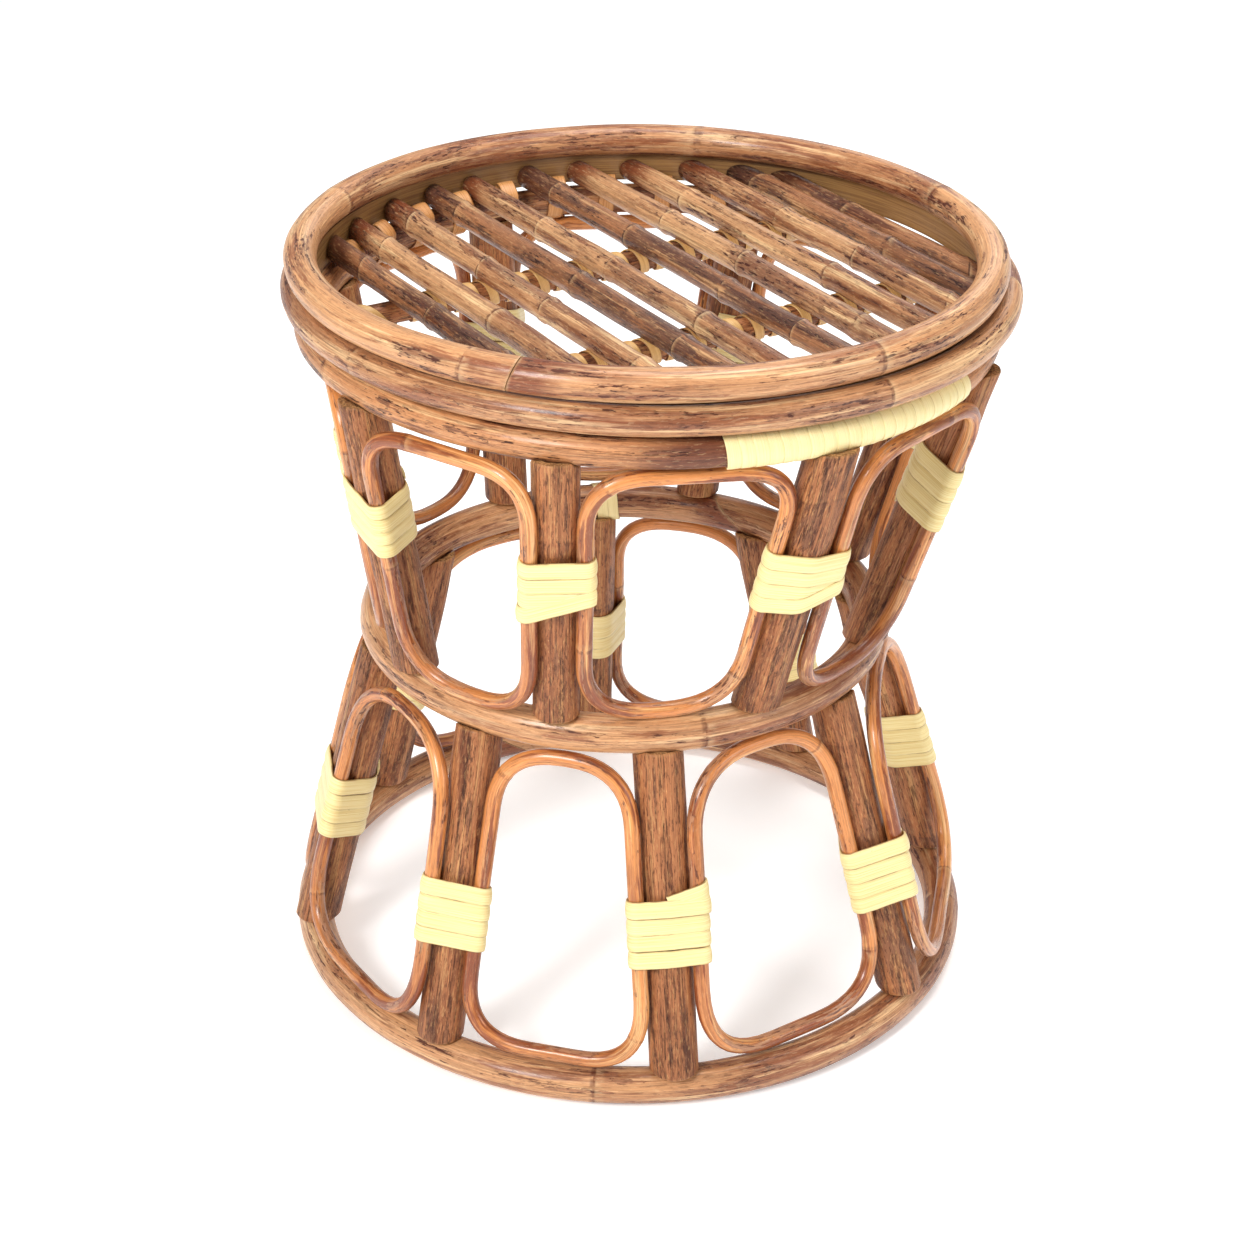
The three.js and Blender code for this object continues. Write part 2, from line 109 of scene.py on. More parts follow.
class Hoop:
    """One of the five rings of thick cane."""

    def __init__(self, ring, cane, height, sway):
        self.ring = ring
        self.cane = cane
        self.height = height
        self.centre = BASE_CENTRE + Vector(sway)
        self.middle = (self.centre.x * MM, self.centre.y * MM, height * MM)

    def point(self, bearing, out, height):
        angle = radians(bearing)
        reach = self.ring + out
        return Vector((
            self.centre.x + reach * sin(angle),
            self.centre.y - reach * cos(angle),
            height,
        ))

    def bend(self, bearing, slant=0.0):
        """What the bending tree needs to start at a bearing of this hoop."""
        return {
            "Ring": self.ring * MM, "Start": radians(bearing), "Centre": self.middle,
            "Slant": slant,
        }


TOP = Hoop(172.7, TOP_CANE, TOP_HEIGHT, (4.6, -2.2))
MIDDLE = Hoop(179, MIDDLE_CANE, MIDDLE_HEIGHT, (7, 3))
RIM = Hoop(170.4, RIM_CANE, RIM_HEIGHT, (5.6, -1.2))
WAIST = Hoop(131.2, WAIST_CANE, WAIST_HEIGHT, (-4.7, -2.5))
BASE = Hoop(177.4, BASE_CANE, BASE_CANE, (0, 0))


# ---- Node trees: small helpers

class Wire:
    """An output of a node. Arithmetic on it adds the maths nodes that do the sum."""

    def __init__(self, tree, socket):
        self.tree = tree
        self.socket = socket


def sign(operation, swapped=False):
    """What a sign of arithmetic does to a wire, or to a wire and another value."""
    def work(*values):
        return calc(operation, *(reversed(values) if swapped else values))
    return work


Wire.__add__ = sign("ADD")
Wire.__sub__ = sign("SUBTRACT")
Wire.__rsub__ = sign("SUBTRACT", swapped=True)
Wire.__mul__ = sign("MULTIPLY")
Wire.__truediv__ = sign("DIVIDE")
Wire.__lt__ = sign("LESS_THAN")
Wire.__gt__ = sign("GREATER_THAN")
Wire.__abs__ = sign("ABSOLUTE")
Wire.__round__ = sign("ROUND")


def tree_of(values):
    return next(value.tree for value in values if isinstance(value, Wire))


def feed(socket, value):
    if isinstance(value, Wire):
        value.tree.links.new(value.socket, socket)
    elif value is not None:
        socket.default_value = value


def add(tree, kind, inputs=(), out=0, **settings):
    """Adds a node, sets it and feeds it. Gives the output that is asked for, or a list of them."""
    node = tree.nodes.new(kind)
    for key, value in settings.items():
        setattr(node, key, value)
    for key, value in dict(inputs).items():
        feed(node.inputs[key], value)
    if isinstance(out, tuple):
        return [Wire(tree, node.outputs[key]) for key in out]
    return Wire(tree, node.outputs[out])


def calc(operation, *values, clamp=False):
    settings = {"operation": operation, "use_clamp": clamp}
    return add(tree_of(values), "ShaderNodeMath", enumerate(values), **settings)


def vec(operation, *values):
    out = "Value" if operation == "LENGTH" else "Vector"
    return add(
        tree_of(values), "ShaderNodeVectorMath", enumerate(values), out, operation=operation,
    )


def scaled(vector, share):
    inputs = {0: vector, "Scale": share}
    return add(vector.tree, "ShaderNodeVectorMath", inputs, operation="SCALE")


def join(*parts):
    return add(tree_of(parts), "ShaderNodeCombineXYZ", enumerate(parts))


def split(vector):
    return add(vector.tree, "ShaderNodeSeparateXYZ", {0: vector}, (0, 1, 2))


def ramp(value, low, high, to_low=0.0, to_high=1.0, smooth=True):
    return add(
        value.tree, "ShaderNodeMapRange", enumerate((value, low, high, to_low, to_high)),
        interpolation_type="SMOOTHSTEP" if smooth else "LINEAR",
    )


def noise(vector, detail=2.0, roughness=0.5):
    """Soft noise about 0.5, as a number and as three of them."""
    inputs = {"Vector": vector, "Scale": 1.0, "Detail": detail, "Roughness": roughness}
    return add(vector.tree, "ShaderNodeTexNoise", inputs, (0, 1))


def store(geometry, name, value, kind="FLOAT", domain="POINT"):
    inputs = {"Geometry": geometry, "Name": name, "Value": value}
    settings = {"data_type": kind, "domain": domain}
    return add(geometry.tree, "GeometryNodeStoreNamedAttribute", inputs, **settings)


def named(tree, name, kind="FLOAT"):
    return add(tree, "GeometryNodeInputNamedAttribute", {"Name": name}, data_type=kind)


def place_of(tree):
    return add(tree, "GeometryNodeInputPosition")


def move(geometry, position=None, offset=None):
    inputs = {"Geometry": geometry, "Position": position, "Offset": offset}
    return add(geometry.tree, "GeometryNodeSetPosition", inputs)


def new_tree(name, kind, inputs, outputs):
    """A new tree, with the wires given to it and the sockets for what it makes."""
    tree = bpy.data.node_groups.new(name, kind)
    for in_out, sockets in (("INPUT", inputs), ("OUTPUT", outputs)):
        for label, socket_kind, *value in sockets:
            socket = tree.interface.new_socket(
                name=label, in_out=in_out, socket_type="NodeSocket" + socket_kind,
            )
            if value:
                socket.default_value = value[0]
    inside = tree.nodes.new("NodeGroupInput").outputs
    given = {socket.name: Wire(tree, socket) for socket in inside}
    return tree, given, tree.nodes.new("NodeGroupOutput").inputs


def shape_tree(name, numbers, counts=(), places=()):
    """A tree that makes one shape out of another, by numbers, counts and places."""
    inputs = [("Geometry", "Geometry"), ("Material", "Material")]
    for kind, labels in (("Float", numbers), ("Int", counts), ("Vector", places)):
        inputs += [(label, kind) for label in labels]
    return new_tree(name, "GeometryNodeTree", inputs, [("Geometry", "Geometry")])


def moved_shape(given, made, position):
    """Hands out the shape that was given, with its points at their new places."""
    shape = move(given["Geometry"], position=position)
    feed(made[0], shape)
    return shape.tree


def finish_shape(geometry, smooth, given, made):
    """Shades the faces smooth where asked, gives them their material and hands them out."""
    tree = geometry.tree
    inputs = {"Geometry": geometry, "Shade Smooth": smooth}
    shaded = add(tree, "GeometryNodeSetShadeSmooth", inputs, domain="FACE")
    inputs = {"Geometry": shaded, "Material": given["Material"]}
    feed(made[0], add(tree, "GeometryNodeSetMaterial", inputs))
    return tree


# ---- Node trees: shapes. These trees work in metres.

CANE_NUMBERS = (
    "Radius", "Knot Spacing", "Knot Start", "Knot Swell", "Girth Change", "Hollows", "Wander",
    "Seed",
)
SEED_RUN = 0.37
CORNER_ROOM = 0.0009
AT_END = 0.0002
SLANT_REACH = 0.05
STRIP_CORNERS = 24
# For thick cane and for thin: width of a joint's ridge, how many times a metre the girth drifts,
# and the same for the hollows around and along the cane
THICK = (0.0032, 9.0, (150.0, 14.0))
THIN = (0.0022, 14.0, (200.0, 20.0))


def knot_count(along, given):
    """Which joint of the cane a place is at: a whole number on each joint's ring."""
    unevenness = calc("SINE", along * 23.0 + given["Seed"]) * 0.16
    return unevenness + along / given["Knot Spacing"] + given["Knot Start"]


def drifting(along, given, kind):
    """Change of girth along the cane, with a ridge at each joint, and how it strays sideways."""
    ridge_width, rate, _ = kind
    drift, wander = noise(join(along * rate, given["Seed"], 0.0), 1.0)
    count = named(along.tree, "joint")
    share = abs(count - round(count)) * given["Knot Spacing"] / ridge_width
    ridge = calc("EXPONENT", share * share * -1.0)
    swell = ridge * given["Knot Swell"] + (drift - 0.5) * (given["Girth Change"] * 2.0)
    return swell, scaled(vec("SUBTRACT", wander, (0.5, 0.5, 0.5)), given["Wander"])


def hollow_depth(tree, given, kind):
    """Shallow hollows that are longer than they are wide."""
    around, along = kind[2]
    stretched = vec("MULTIPLY", named(tree, "cane", "FLOAT_VECTOR"), (around, around, along))
    return (noise(stretched)[0] - 0.5) * given["Hollows"] * 2.0


def half_chord(radius, off):
    """Half the chord of a circle, at a distance from its middle."""
    return calc("SQRT", calc("MAXIMUM", radius * radius - off * off, 0.0))


def straight_cane_tree():
    """A straight length of cane up from the origin, with its joints and two cut ends."""
    tree, given, made = shape_tree(
        "straight cane", ("Length", "End Rounding", "End Dome", *CANE_NUMBERS), ("Sides", "Steps"),
    )
    length = given["Length"]
    radius = given["Radius"]
    tube = add(tree, "GeometryNodeMeshCylinder", {
        "Vertices": given["Sides"], "Side Segments": given["Steps"], "Fill Segments": 4,
        "Radius": radius, "Depth": length,
    }, fill_type="TRIANGLE_FAN")
    tube = move(tube, offset=join(0.0, 0.0, length * 0.5))
    facing = split(add(tree, "GeometryNodeInputNormal"))[2]
    tube = store(tube, "cut", abs(facing) > 0.7, domain="FACE")

    # The rings next to the ends go close to them, so that only the very edge is rounded
    place = place_of(tree)
    x, y, z = split(place)
    to_end = calc("MINIMUM", z, length - z)
    step = length / given["Steps"]
    next_to_end = (to_end < step * 1.5) * (to_end > step * 0.5)
    side = calc("SIGN", z - length * 0.5)
    tube = move(tube, offset=join(0.0, 0.0, next_to_end * side * (step - CORNER_ROOM)))

    tube = store(tube, "joint", knot_count(z, given))
    shifted = vec("ADD", place, join(0.0, 0.0, given["Seed"] * SEED_RUN))
    tube = store(tube, "cane", shifted, "FLOAT_VECTOR")
    tube = store(tube, "tip", to_end)
    tube = store(tube, "from start", z)

    swell, wander = drifting(z, given, THICK)
    at_end = named(tree, "tip") < AT_END
    rounding = at_end * given["End Rounding"]
    scale = swell - rounding + 1.0
    scale = scale + hollow_depth(tree, given, THICK) / radius
    from_axis = vec("LENGTH", join(x, y, 0.0)) / radius
    dome = (1.0 - from_axis * from_axis) * at_end * given["End Dome"] * side
    shaped = join(x * scale, y * scale, z + dome)
    level_wander = vec("MULTIPLY", wander, (1.0, 1.0, 0.0))
    tube = move(tube, position=vec("ADD", shaped, level_wander))
    return finish_shape(tube, named(tree, "cut") < 0.5, given, made)


def mitred_tree():
    """Cuts both ends of a bar along the inside of the ring that it crosses."""
    tree, given, made = shape_tree("mitred to a ring", ("Length", "Inside", "Place"))
    x, y, z = split(place_of(tree))
    half = given["Length"] * 0.5
    reach = half_chord(given["Inside"], given["Place"] + x)
    level = (z - half) / half * reach + half
    return moved_shape(given, made, join(x, y, level))


def bent_on_hoop_tree():
    """Bends what is straight round a hoop: X turns to up, Y to outward, Z runs round the ring."""
    tree, given, made = shape_tree("bent on a hoop", ("Ring", "Start", "Slant"), (), ("Centre",))
    x, y, z = split(place_of(tree))
    near = ramp(named(tree, "tip"), 0.0, SLANT_REACH, 1.0, 0.0, smooth=False)
    angle = (z + x * near * given["Slant"]) / given["Ring"] + given["Start"]
    reach = given["Ring"] + y
    place = join(reach * calc("SINE", angle), reach * calc("COSINE", angle) * -1.0, x)
    return moved_shape(given, made, vec("ADD", place, given["Centre"]))


def leaning_post_tree():
    """Leans a straight cane from foot to head, and hollows its head to the hoop above."""
    tree, given, made = shape_tree(
        "leaning post", ("Length", "Ring", "Hoop Cane"), (), ("Foot", "Head", "Hoop Centre"),
    )
    foot = given["Foot"]
    head = given["Head"]
    x, y, z = split(place_of(tree))
    share = z / given["Length"]
    middle = vec("ADD", foot, scaled(vec("SUBTRACT", head, foot), share))
    place = vec("ADD", middle, join(x, y, 0.0))
    from_axis = vec("MULTIPLY", vec("SUBTRACT", place, given["Hoop Centre"]), (1.0, 1.0, 0.0))
    sink = half_chord(given["Hoop Cane"], vec("LENGTH", from_axis) - given["Ring"])
    top = calc("MINIMUM", split(head)[2], split(given["Hoop Centre"])[2] - sink)
    foot_level = split(foot)[2]
    level = share * (top - foot_level) + foot_level
    across, inward, _ = split(place)
    return moved_shape(given, made, join(across, inward, level))


def even_line(tree, given):
    """The line to follow, in even steps."""
    line = add(tree, "GeometryNodeMeshToCurve", {"Mesh": given["Geometry"]})
    inputs = {"Curve": line, "Length": given["Step"]}
    return add(tree, "GeometryNodeResampleCurve", inputs, mode="LENGTH")


def with_length_so_far(line):
    return store(line, "along", add(line.tree, "GeometryNodeSplineParameter", out="Length"))


def swept(line, section, scale=1.0):
    inputs = {"Curve": line, "Profile Curve": section, "Scale": scale, "Fill Caps": True}
    return add(line.tree, "GeometryNodeCurveToMesh", inputs)


def bent_cane_tree():
    """Thin cane along a bent line, with its joints and two cut ends."""
    tree, given, made = shape_tree("bent cane", ("Step", *CANE_NUMBERS), ("Sides",))
    line = even_line(tree, given)
    length = add(tree, "GeometryNodeCurveLength", {"Curve": line})
    line = with_length_so_far(line)
    along = named(tree, "along")
    line = store(line, "joint", knot_count(along, given))
    line = store(line, "tip", calc("MINIMUM", along, length - along))
    swell, wander = drifting(along, given, THIN)
    line = move(line, offset=wander)
    line = store(line, "girth", (swell + 1.0) * given["Radius"])
    inputs = {"Resolution": given["Sides"], "Radius": 1.0}
    circle = add(tree, "GeometryNodeCurvePrimitiveCircle", inputs)
    circle = store(circle, "round", place_of(tree), "FLOAT_VECTOR")
    tube = swept(line, circle, named(tree, "girth"))

    flat = scaled(named(tree, "round", "FLOAT_VECTOR"), given["Radius"])
    run = join(0.0, 0.0, given["Seed"] * SEED_RUN + along)
    tube = store(tube, "cane", vec("ADD", flat, run), "FLOAT_VECTOR")
    corners = add(tree, "GeometryNodeInputMeshFaceNeighbors", out="Vertex Count")
    tube = store(tube, "cut", corners > 4.5, domain="FACE")
    depth = hollow_depth(tree, given, THIN)
    tube = move(tube, offset=scaled(add(tree, "GeometryNodeInputNormal"), depth))
    return finish_shape(tube, named(tree, "cut") < 0.5, given, made)


def wound_strip_tree():
    """A flat strip with a crowned back along a winding line about the Z axis."""
    tree, given, made = shape_tree(
        "wound strip", ("Step", "Width", "Thickness", "Crown", "Lap", "Seed"),
    )
    line = add(tree, "GeometryNodeSetCurveNormal", {"Curve": even_line(tree, given)}, mode="Z_UP")
    line = with_length_so_far(line)
    inputs = {"Width": given["Thickness"], "Height": given["Width"]}
    flat = add(tree, "GeometryNodeCurvePrimitiveQuadrilateral", inputs, mode="RECTANGLE")
    inputs = {"Curve": flat, "Count": STRIP_CORNERS}
    flat = add(tree, "GeometryNodeResampleCurve", inputs, mode="COUNT")
    x, y, _ = split(place_of(tree))
    flat = store(flat, "across", y / (given["Width"] * 0.5))
    across = named(tree, "across")
    crown = (1.0 - across * across) * given["Crown"] * (x > 0.0)
    flat = move(flat, offset=join(crown + across * given["Lap"], 0.0, 0.0))
    run = given["Seed"] * SEED_RUN + named(tree, "along")
    band = store(swept(line, flat), "strip", join(across, 0.0, run), "FLOAT_VECTOR")
    return finish_shape(band, True, given, made)


STRAIGHT_CANE = straight_cane_tree()
BENT_ON_HOOP = bent_on_hoop_tree()
MITRED = mitred_tree()
LEANING_POST = leaning_post_tree()
BENT_CANE = bent_cane_tree()
WOUND_STRIP = wound_strip_tree()


# ---- Materials

def blend(share, first, second, kind="MIX"):
    inputs = {0: share, 6: first, 7: second}
    tree = tree_of(inputs.values())
    return add(tree, "ShaderNodeMix", inputs, 2, data_type="RGBA", blend_type=kind)


def attribute(tree, name, out="Fac"):
    settings = {"attribute_name": name, "attribute_type": "GEOMETRY"}
    return add(tree, "ShaderNodeAttribute", (), out, **settings)


def cane_skin_group():
    """Colour, roughness and height of cane: fibres, streaks, scraped skin, joints and cut ends."""
    shares = (
        "Stains", "Streaks", "Specks", "Skin Left", "Flecks", "Fissures", "Rings", "Gloss",
        "End Stain", "Both Ends",
    )
    tree, given, made = new_tree(
        "cane skin",
        "ShaderNodeTree",
        [
            *((name, "Color") for name in ("Light", "Deep", "Skin", "Cut")),
            *((name, "Float") for name in shares),
            ("Stain Reach", "Float", 0.03),
            ("End Wear", "Float", 0.8),
        ],
        [("Colour", "Color"), ("Roughness", "Float"), ("Height", "Float")],
    )
    cane = attribute(tree, "cane", "Vector")
    joint, tip, cut, from_start = (
        attribute(tree, name) for name in ("joint", "tip", "cut", "from start")
    )
    deep, pale = given["Deep"], given["Cut"]
    dark = blend(1.0, deep, (0.4, 0.34, 0.34, 1), "MULTIPLY")

    def cane_noise(around, along, detail, roughness, shift=0.0):
        stretched = vec("MULTIPLY", cane, (around, around, along))
        return noise(vec("ADD", stretched, (shift, 0.0, shift)), detail, roughness)[0]

    def less_half(value, share):
        return (value - 0.5) * share

    # Noises, by how many times a metre they change around and along the cane
    fibres = cane_noise(1500.0, 22.0, 3.0, 0.65)
    long_grain = cane_noise(330.0, 13.0, 5.0, 0.62)
    broad = cane_noise(95.0, 17.0, 3.0, 0.55)
    stains = cane_noise(125.0, 15.0, 4.0, 0.62, 19.0)
    peeled = cane_noise(230.0, 10.0, 4.0, 0.6, 31.0)
    patches = cane_noise(115.0, 20.0, 4.0, 0.6, 7.0)
    mottle = cane_noise(420.0, 150.0, 4.0, 0.6)
    dash = cane_noise(850.0, 170.0, 2.0, 0.5)
    crack = cane_noise(300.0, 7.5, 4.0, 0.6, 3.0)
    specks = cane_noise(1100.0, 230.0, 3.0, 0.6, 43.0)

    # Each length between two joints has a tone of its own, and peeled places are paler
    length_hash = add(
        tree, "ShaderNodeTexWhiteNoise", {"W": round(joint - 0.5)}, noise_dimensions="1D",
    )
    tone = ramp(broad * 0.7 + length_hash * 0.3, 0.34, 0.74)
    warm = blend(0.5, given["Light"], deep)
    base = blend(tone * 0.85, given["Light"], warm)
    base = blend(ramp(peeled + less_half(fibres, 0.3), 0.52, 0.68, 0.0, 0.55), base, pale)

    # Soft stains, long streaks and the dark end
    stain = stains + less_half(long_grain, 0.4) + less_half(length_hash, 0.08)
    base = blend(ramp(stain, 0.52, 0.61) * given["Stains"], base, deep)
    streak = ramp(long_grain + less_half(broad, 0.5), 0.55, 0.63) * ramp(fibres, 0.35, 0.6)
    base = blend(streak * given["Streaks"], base, deep)
    from_end = (tip - from_start) * given["Both Ends"] + from_start
    from_end = from_end / given["Stain Reach"] + less_half(long_grain, 1.0)
    base = blend(ramp(from_end, 0.35, 1.0, 1.0, 0.0) * given["End Stain"], base, deep)

    # Skin left on the cane, dark along its edge
    edge = patches + less_half(mottle, 0.2) + less_half(long_grain, 0.6)
    edge = edge + less_half(length_hash, 0.1) + given["Skin Left"]
    skin = ramp(edge, 0.9, 0.925)
    base = blend(skin * 0.65, base, given["Skin"])
    rim = ramp(abs(edge - 0.905), 0.002, 0.012, 1.0, 0.0) * ramp(mottle, 0.5, 0.62)
    base = blend(rim * given["Flecks"], base, dark)

    # Crisp dashes, long cracks, and pale and dark specks
    fleck = ramp(dash + less_half(long_grain, 0.8), 0.61, 0.65)
    fleck = fleck * ramp(patches + less_half(broad, 0.5), 0.47, 0.6)
    base = blend(fleck * given["Flecks"], base, dark)
    fissure = ramp(abs(crack - 0.5), 0.0, 0.02, 1.0, 0.0) * ramp(mottle, 0.4, 0.56)
    fissure = fissure * given["Fissures"]
    base = blend(fissure, base, dark)
    base = blend(ramp(specks, 0.57, 0.64) * given["Specks"] * 0.75, base, pale)
    base = blend(ramp(specks, 0.36, 0.43, 1.0, 0.0) * given["Specks"], base, dark)
    fine = ramp(fibres, 0.25, 0.75, 0.62, 1.32, smooth=False)
    base = blend(1.0, base, join(fine, fine, fine), "MULTIPLY")

    # The broken ring at each joint, and the paler cane below it
    off = joint - round(joint)
    broken = ramp(mottle + less_half(long_grain, 0.5), 0.4, 0.56)
    ring = ramp(abs(off), 0.003, 0.012, 1.0, 0.0) * broken * given["Rings"]
    below = ramp(off, 0.008, 0.04, 1.0, 0.0) * (off > 0.006) * given["Rings"] * broken
    base = blend(below * 0.4, base, pale)
    base = blend(ring * 0.75, base, dark)

    # Worn ends and the pith in their cuts
    worn = ramp(tip + less_half(mottle, 0.002), 0.0, 0.0016, 1.0, 0.0) * given["End Wear"]
    base = blend(worn, base, pale)
    pith = blend(0.35, blend(ramp(dash, 0.4, 0.62), pale, deep), pale)
    feed(made["Colour"], blend(cut, base, pith))

    rough = 0.68 - given["Gloss"] * 0.38 + less_half(mottle, 0.25) + (fleck + streak) * 0.08
    feed(made["Roughness"], calc("ADD", rough, cut * 0.25, clamp=True))
    height = less_half(fibres, 0.4) + skin * 0.45 - fleck * 0.7 - streak * 0.35
    feed(made["Height"], height - fissure + ring * 0.5)
    return tree


CANE_SKIN = cane_skin_group()


def shade(hex_code):
    """A colour from its six-digit code."""
    parts = [int(hex_code[i:i + 2], 16) / 255 for i in (0, 2, 4)]
    return (*(c / 12.92 if c <= 0.04045 else ((c + 0.055) / 1.055) ** 2.4 for c in parts), 1.0)


def new_material(name):
    material = bpy.data.materials.new(name)
    material.use_nodes = True
    return material, material.node_tree


def with_surface(material, colour, rough, values, bump=None):
    """Feeds a material's shader. A bump is a height, its strength and its depth."""
    shader = material.node_tree.nodes["Principled BSDF"].inputs
    feed(shader["Base Color"], colour)
    feed(shader["Roughness"], rough)
    for key, value in values.items():
        shader[key].default_value = value
    if bump:
        height, strength, depth = bump
        inputs = {"Strength": strength, "Distance": depth * MM, "Height": height}
        feed(shader["Normal"], add(height.tree, "ShaderNodeBump", inputs))
    return material


def cane_material(name, colours, gloss, coat, relief, **marks):
    """Cane with its own light, deep, skin and cut colours, and its own share of each mark."""
    material, tree = new_material(name)
    inputs = {key: shade(code) for key, code in zip(("Light", "Deep", "Skin", "Cut"), colours)}
    inputs.update({key.replace("_", " ").title(): value for key, value in marks.items()})
    inputs["Gloss"] = gloss
    colour, rough, height = add(
        tree, "ShaderNodeGroup", inputs, ("Colour", "Roughness", "Height"), node_tree=CANE_SKIN,
    )
    values = {"Specular IOR Level": 0.35, "Coat Weight": coat, "Coat Roughness": 0.2}
    return with_surface(material, colour, rough, values, (height, 0.9, relief))


def strip_material(name, pale, shaded, brown, edges=0.8):
    """Peeled strip: a pale back, shaded along the fibres, with brown spots, and brown edges that
    are partly the strip's own colour and partly painted shade in the gaps between turns.
    """
    material, tree = new_material(name)
    pale, shaded, brown = shade(pale), shade(shaded), shade(brown)
    strip = attribute(tree, "strip", "Vector")
    across, _, _ = split(strip)

    def strip_noise(across_scale, along_scale, detail, roughness):
        return noise(vec("MULTIPLY", strip, (across_scale, 1.0, along_scale)), detail, roughness)[0]

    lengthwise = strip_noise(9.0, 18.0, 4.0, 0.6)
    fine = strip_noise(30.0, 45.0, 3.0, 0.6)
    spots = strip_noise(3.2, 190.0, 2.0, 0.5)
    broken = strip_noise(0.7, 70.0, 2.0, 0.5)
    colour = blend(ramp(lengthwise, 0.38, 0.66, 0.0, 0.8), pale, shaded)
    colour = blend(ramp(fine, 0.5, 0.75, 0.0, 0.25), colour, shaded)
    # The brown edges are partly the strip's own colour and partly painted shade: they darken the
    # lines between the turns of a winding
    side = abs(across) + (spots - 0.5) * 0.12
    edge = ramp(side, 0.88, 0.99, 0.0, edges) * ramp(broken, 0.4, 0.58)
    colour = blend(edge, colour, brown)
    colour = blend(ramp(spots, 0.73, 0.78, 0.0, 0.7), colour, brown)
    rough = ramp(lengthwise, 0.3, 0.7, 0.36, 0.52, smooth=False)
    values = {
        "Subsurface Weight": 0.06, "Subsurface Radius": (0.004, 0.003, 0.001),
        "Coat Weight": 0.12, "Coat Roughness": 0.25,
    }
    return with_surface(material, colour, rough, values, (fine, 0.5, 0.25))


HOOP_CANE = cane_material(
    "tan hoop cane", ("c79163", "783616", "8e5a3e", "e9c696"), gloss=0.6, coat=0.3, relief=0.5,
    stains=0.68, streaks=0.45, specks=0.22, skin_left=0.31, flecks=0.95, fissures=0.35,
    rings=0.7, end_stain=0.85, end_wear=0.25,
)
RIM_CANE_RED = cane_material(
    "reddish rim cane", ("c18556", "5f2c19", "704333", "dfbb88"), gloss=0.5, coat=0.22,
    relief=0.55, stains=0.72, streaks=0.5, specks=0.3, skin_left=0.33, flecks=0.95, fissures=0.4,
    rings=0.6, end_stain=0.9, stain_reach=0.055, both_ends=1.0, end_wear=0.2,
)
POST_CANE = cane_material(
    "fibrous post cane", ("a96b41", "5d2911", "7b4f36", "c4945e"), gloss=0.3, coat=0.08,
    relief=0.7, stains=0.5, streaks=0.75, specks=0.6, skin_left=0.33, flecks=0.55, fissures=0.75,
    rings=0.3, end_wear=0.3,
)
LOOP_CANE_SKIN = cane_material(
    "orange loop cane", ("d68a4c", "772f10", "b98763", "ebc084"), gloss=0.85, coat=0.45,
    relief=0.3, stains=0.8, streaks=0.6, specks=0.15, skin_left=0.3, flecks=0.8, fissures=0.3,
    rings=0.6,
)
SLAT_CANE = cane_material(
    "tan slat cane", ("bd8d62", "6d3216", "7f533b", "e2c392"), gloss=0.5, coat=0.22, relief=0.55,
    stains=0.7, streaks=0.5, specks=0.3, skin_left=0.33, flecks=1.0, fissures=0.4, rings=0.9,
    end_stain=0.9,
)
SLAT_CANE_DARK = cane_material(
    "dark slat cane", ("956341", "4a2010", "5b3b2e", "cfa574"), gloss=0.55, coat=0.28,
    relief=0.55, stains=0.8, streaks=0.65, specks=0.35, skin_left=0.38, flecks=1.0, fissures=0.4,
    rings=0.9, end_stain=0.85,
)
PALE_STRIP = strip_material("pale peeled strip", "f3e1a4", "dfc27a", "8a5c2c")
# Fainter brown edges here: less painted shade in the lines between the wrap's turns
WRAP_STRIP = strip_material("pale wrap strip", "f6e5ab", "ead494", "9a6c36", 0.3)
SEAT_STRIP = strip_material("golden peeled strip", "deb473", "bb8447", "7d4b24")
TIE_STRIP = strip_material("brown peeled strip", "d39a5e", "a8662f", "5e3015")
# The lining's colours are darkened as painted shade, for the shadow it lies in under the top hoop
SHADE_DARKENED_LINING_STRIP = strip_material("shade-darkened lining strip", "9d7443", "70492a", "4a2d18")


# ---- Pieces

HOOP_SIDES, HOOP_STEP = 22, 3.2
POST_SIDES, POST_STEP = 30, 3
LOOP_SIDES, LOOP_STEP = 14, 2.4
SLAT_SIDES, SLAT_STEP = 20, 2.6
BATTEN_SIDES, BATTEN_STEP = 18, 4
POST_SLIMNESS = 0.985
BATTEN_SLIMNESS = 0.97
CORNER_STEPS = 10
PATTERN_SHIFTS = (0, 40)


def with_modifier(piece, tree, values):
    modifier = piece.modifiers.new(tree.name, "NODES")
    modifier.node_group = tree
    for item in tree.interface.items_tree:
        if item.in_out == "INPUT" and item.name in values:
            modifier[item.identifier] = values[item.name]


def new_object(name, data):
    piece = bpy.data.objects.new(name, data)
    scene.collection.objects.link(piece)
    return piece


def line_object(name, points):
    mesh = bpy.data.meshes.new(name)
    edges = [(i, i + 1) for i in range(len(points) - 1)]
    mesh.from_pydata([Vector(p) * MM for p in points], edges, [])
    return new_object(name, mesh)


def laid(piece, place, *axes):
    """Turns a piece's X, Y and Z to three axes, and moves it to a place."""
    turn = Matrix(axes).transposed().to_4x4()
    piece.data.transform(Matrix.Translation(place * MM) @ turn)
    return piece


def baked(piece):
    """Turns what the node trees make into a plain mesh."""
    depsgraph = bpy.context.evaluated_depsgraph_get()
    mesh = bpy.data.meshes.new_from_object(piece.evaluated_get(depsgraph), depsgraph=depsgraph)
    mesh.name = piece.name
    piece.modifiers.clear()
    piece.data = mesh
    return piece


def stands_for(piece, slot, *nodes):
    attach(piece, "root")
    if nodes:
        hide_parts(*nodes)
    return piece


def cane_values(radius, seed, material, spacing, start, swell, girth=0.03, hollows=0.4, wander=1):
    return {
        "Radius": radius * MM, "Knot Spacing": spacing * MM, "Knot Start": float(start),
        "Knot Swell": swell, "Girth Change": girth, "Hollows": hollows * MM,
        "Wander": wander * MM, "Seed": float(seed), "Material": material,
    }


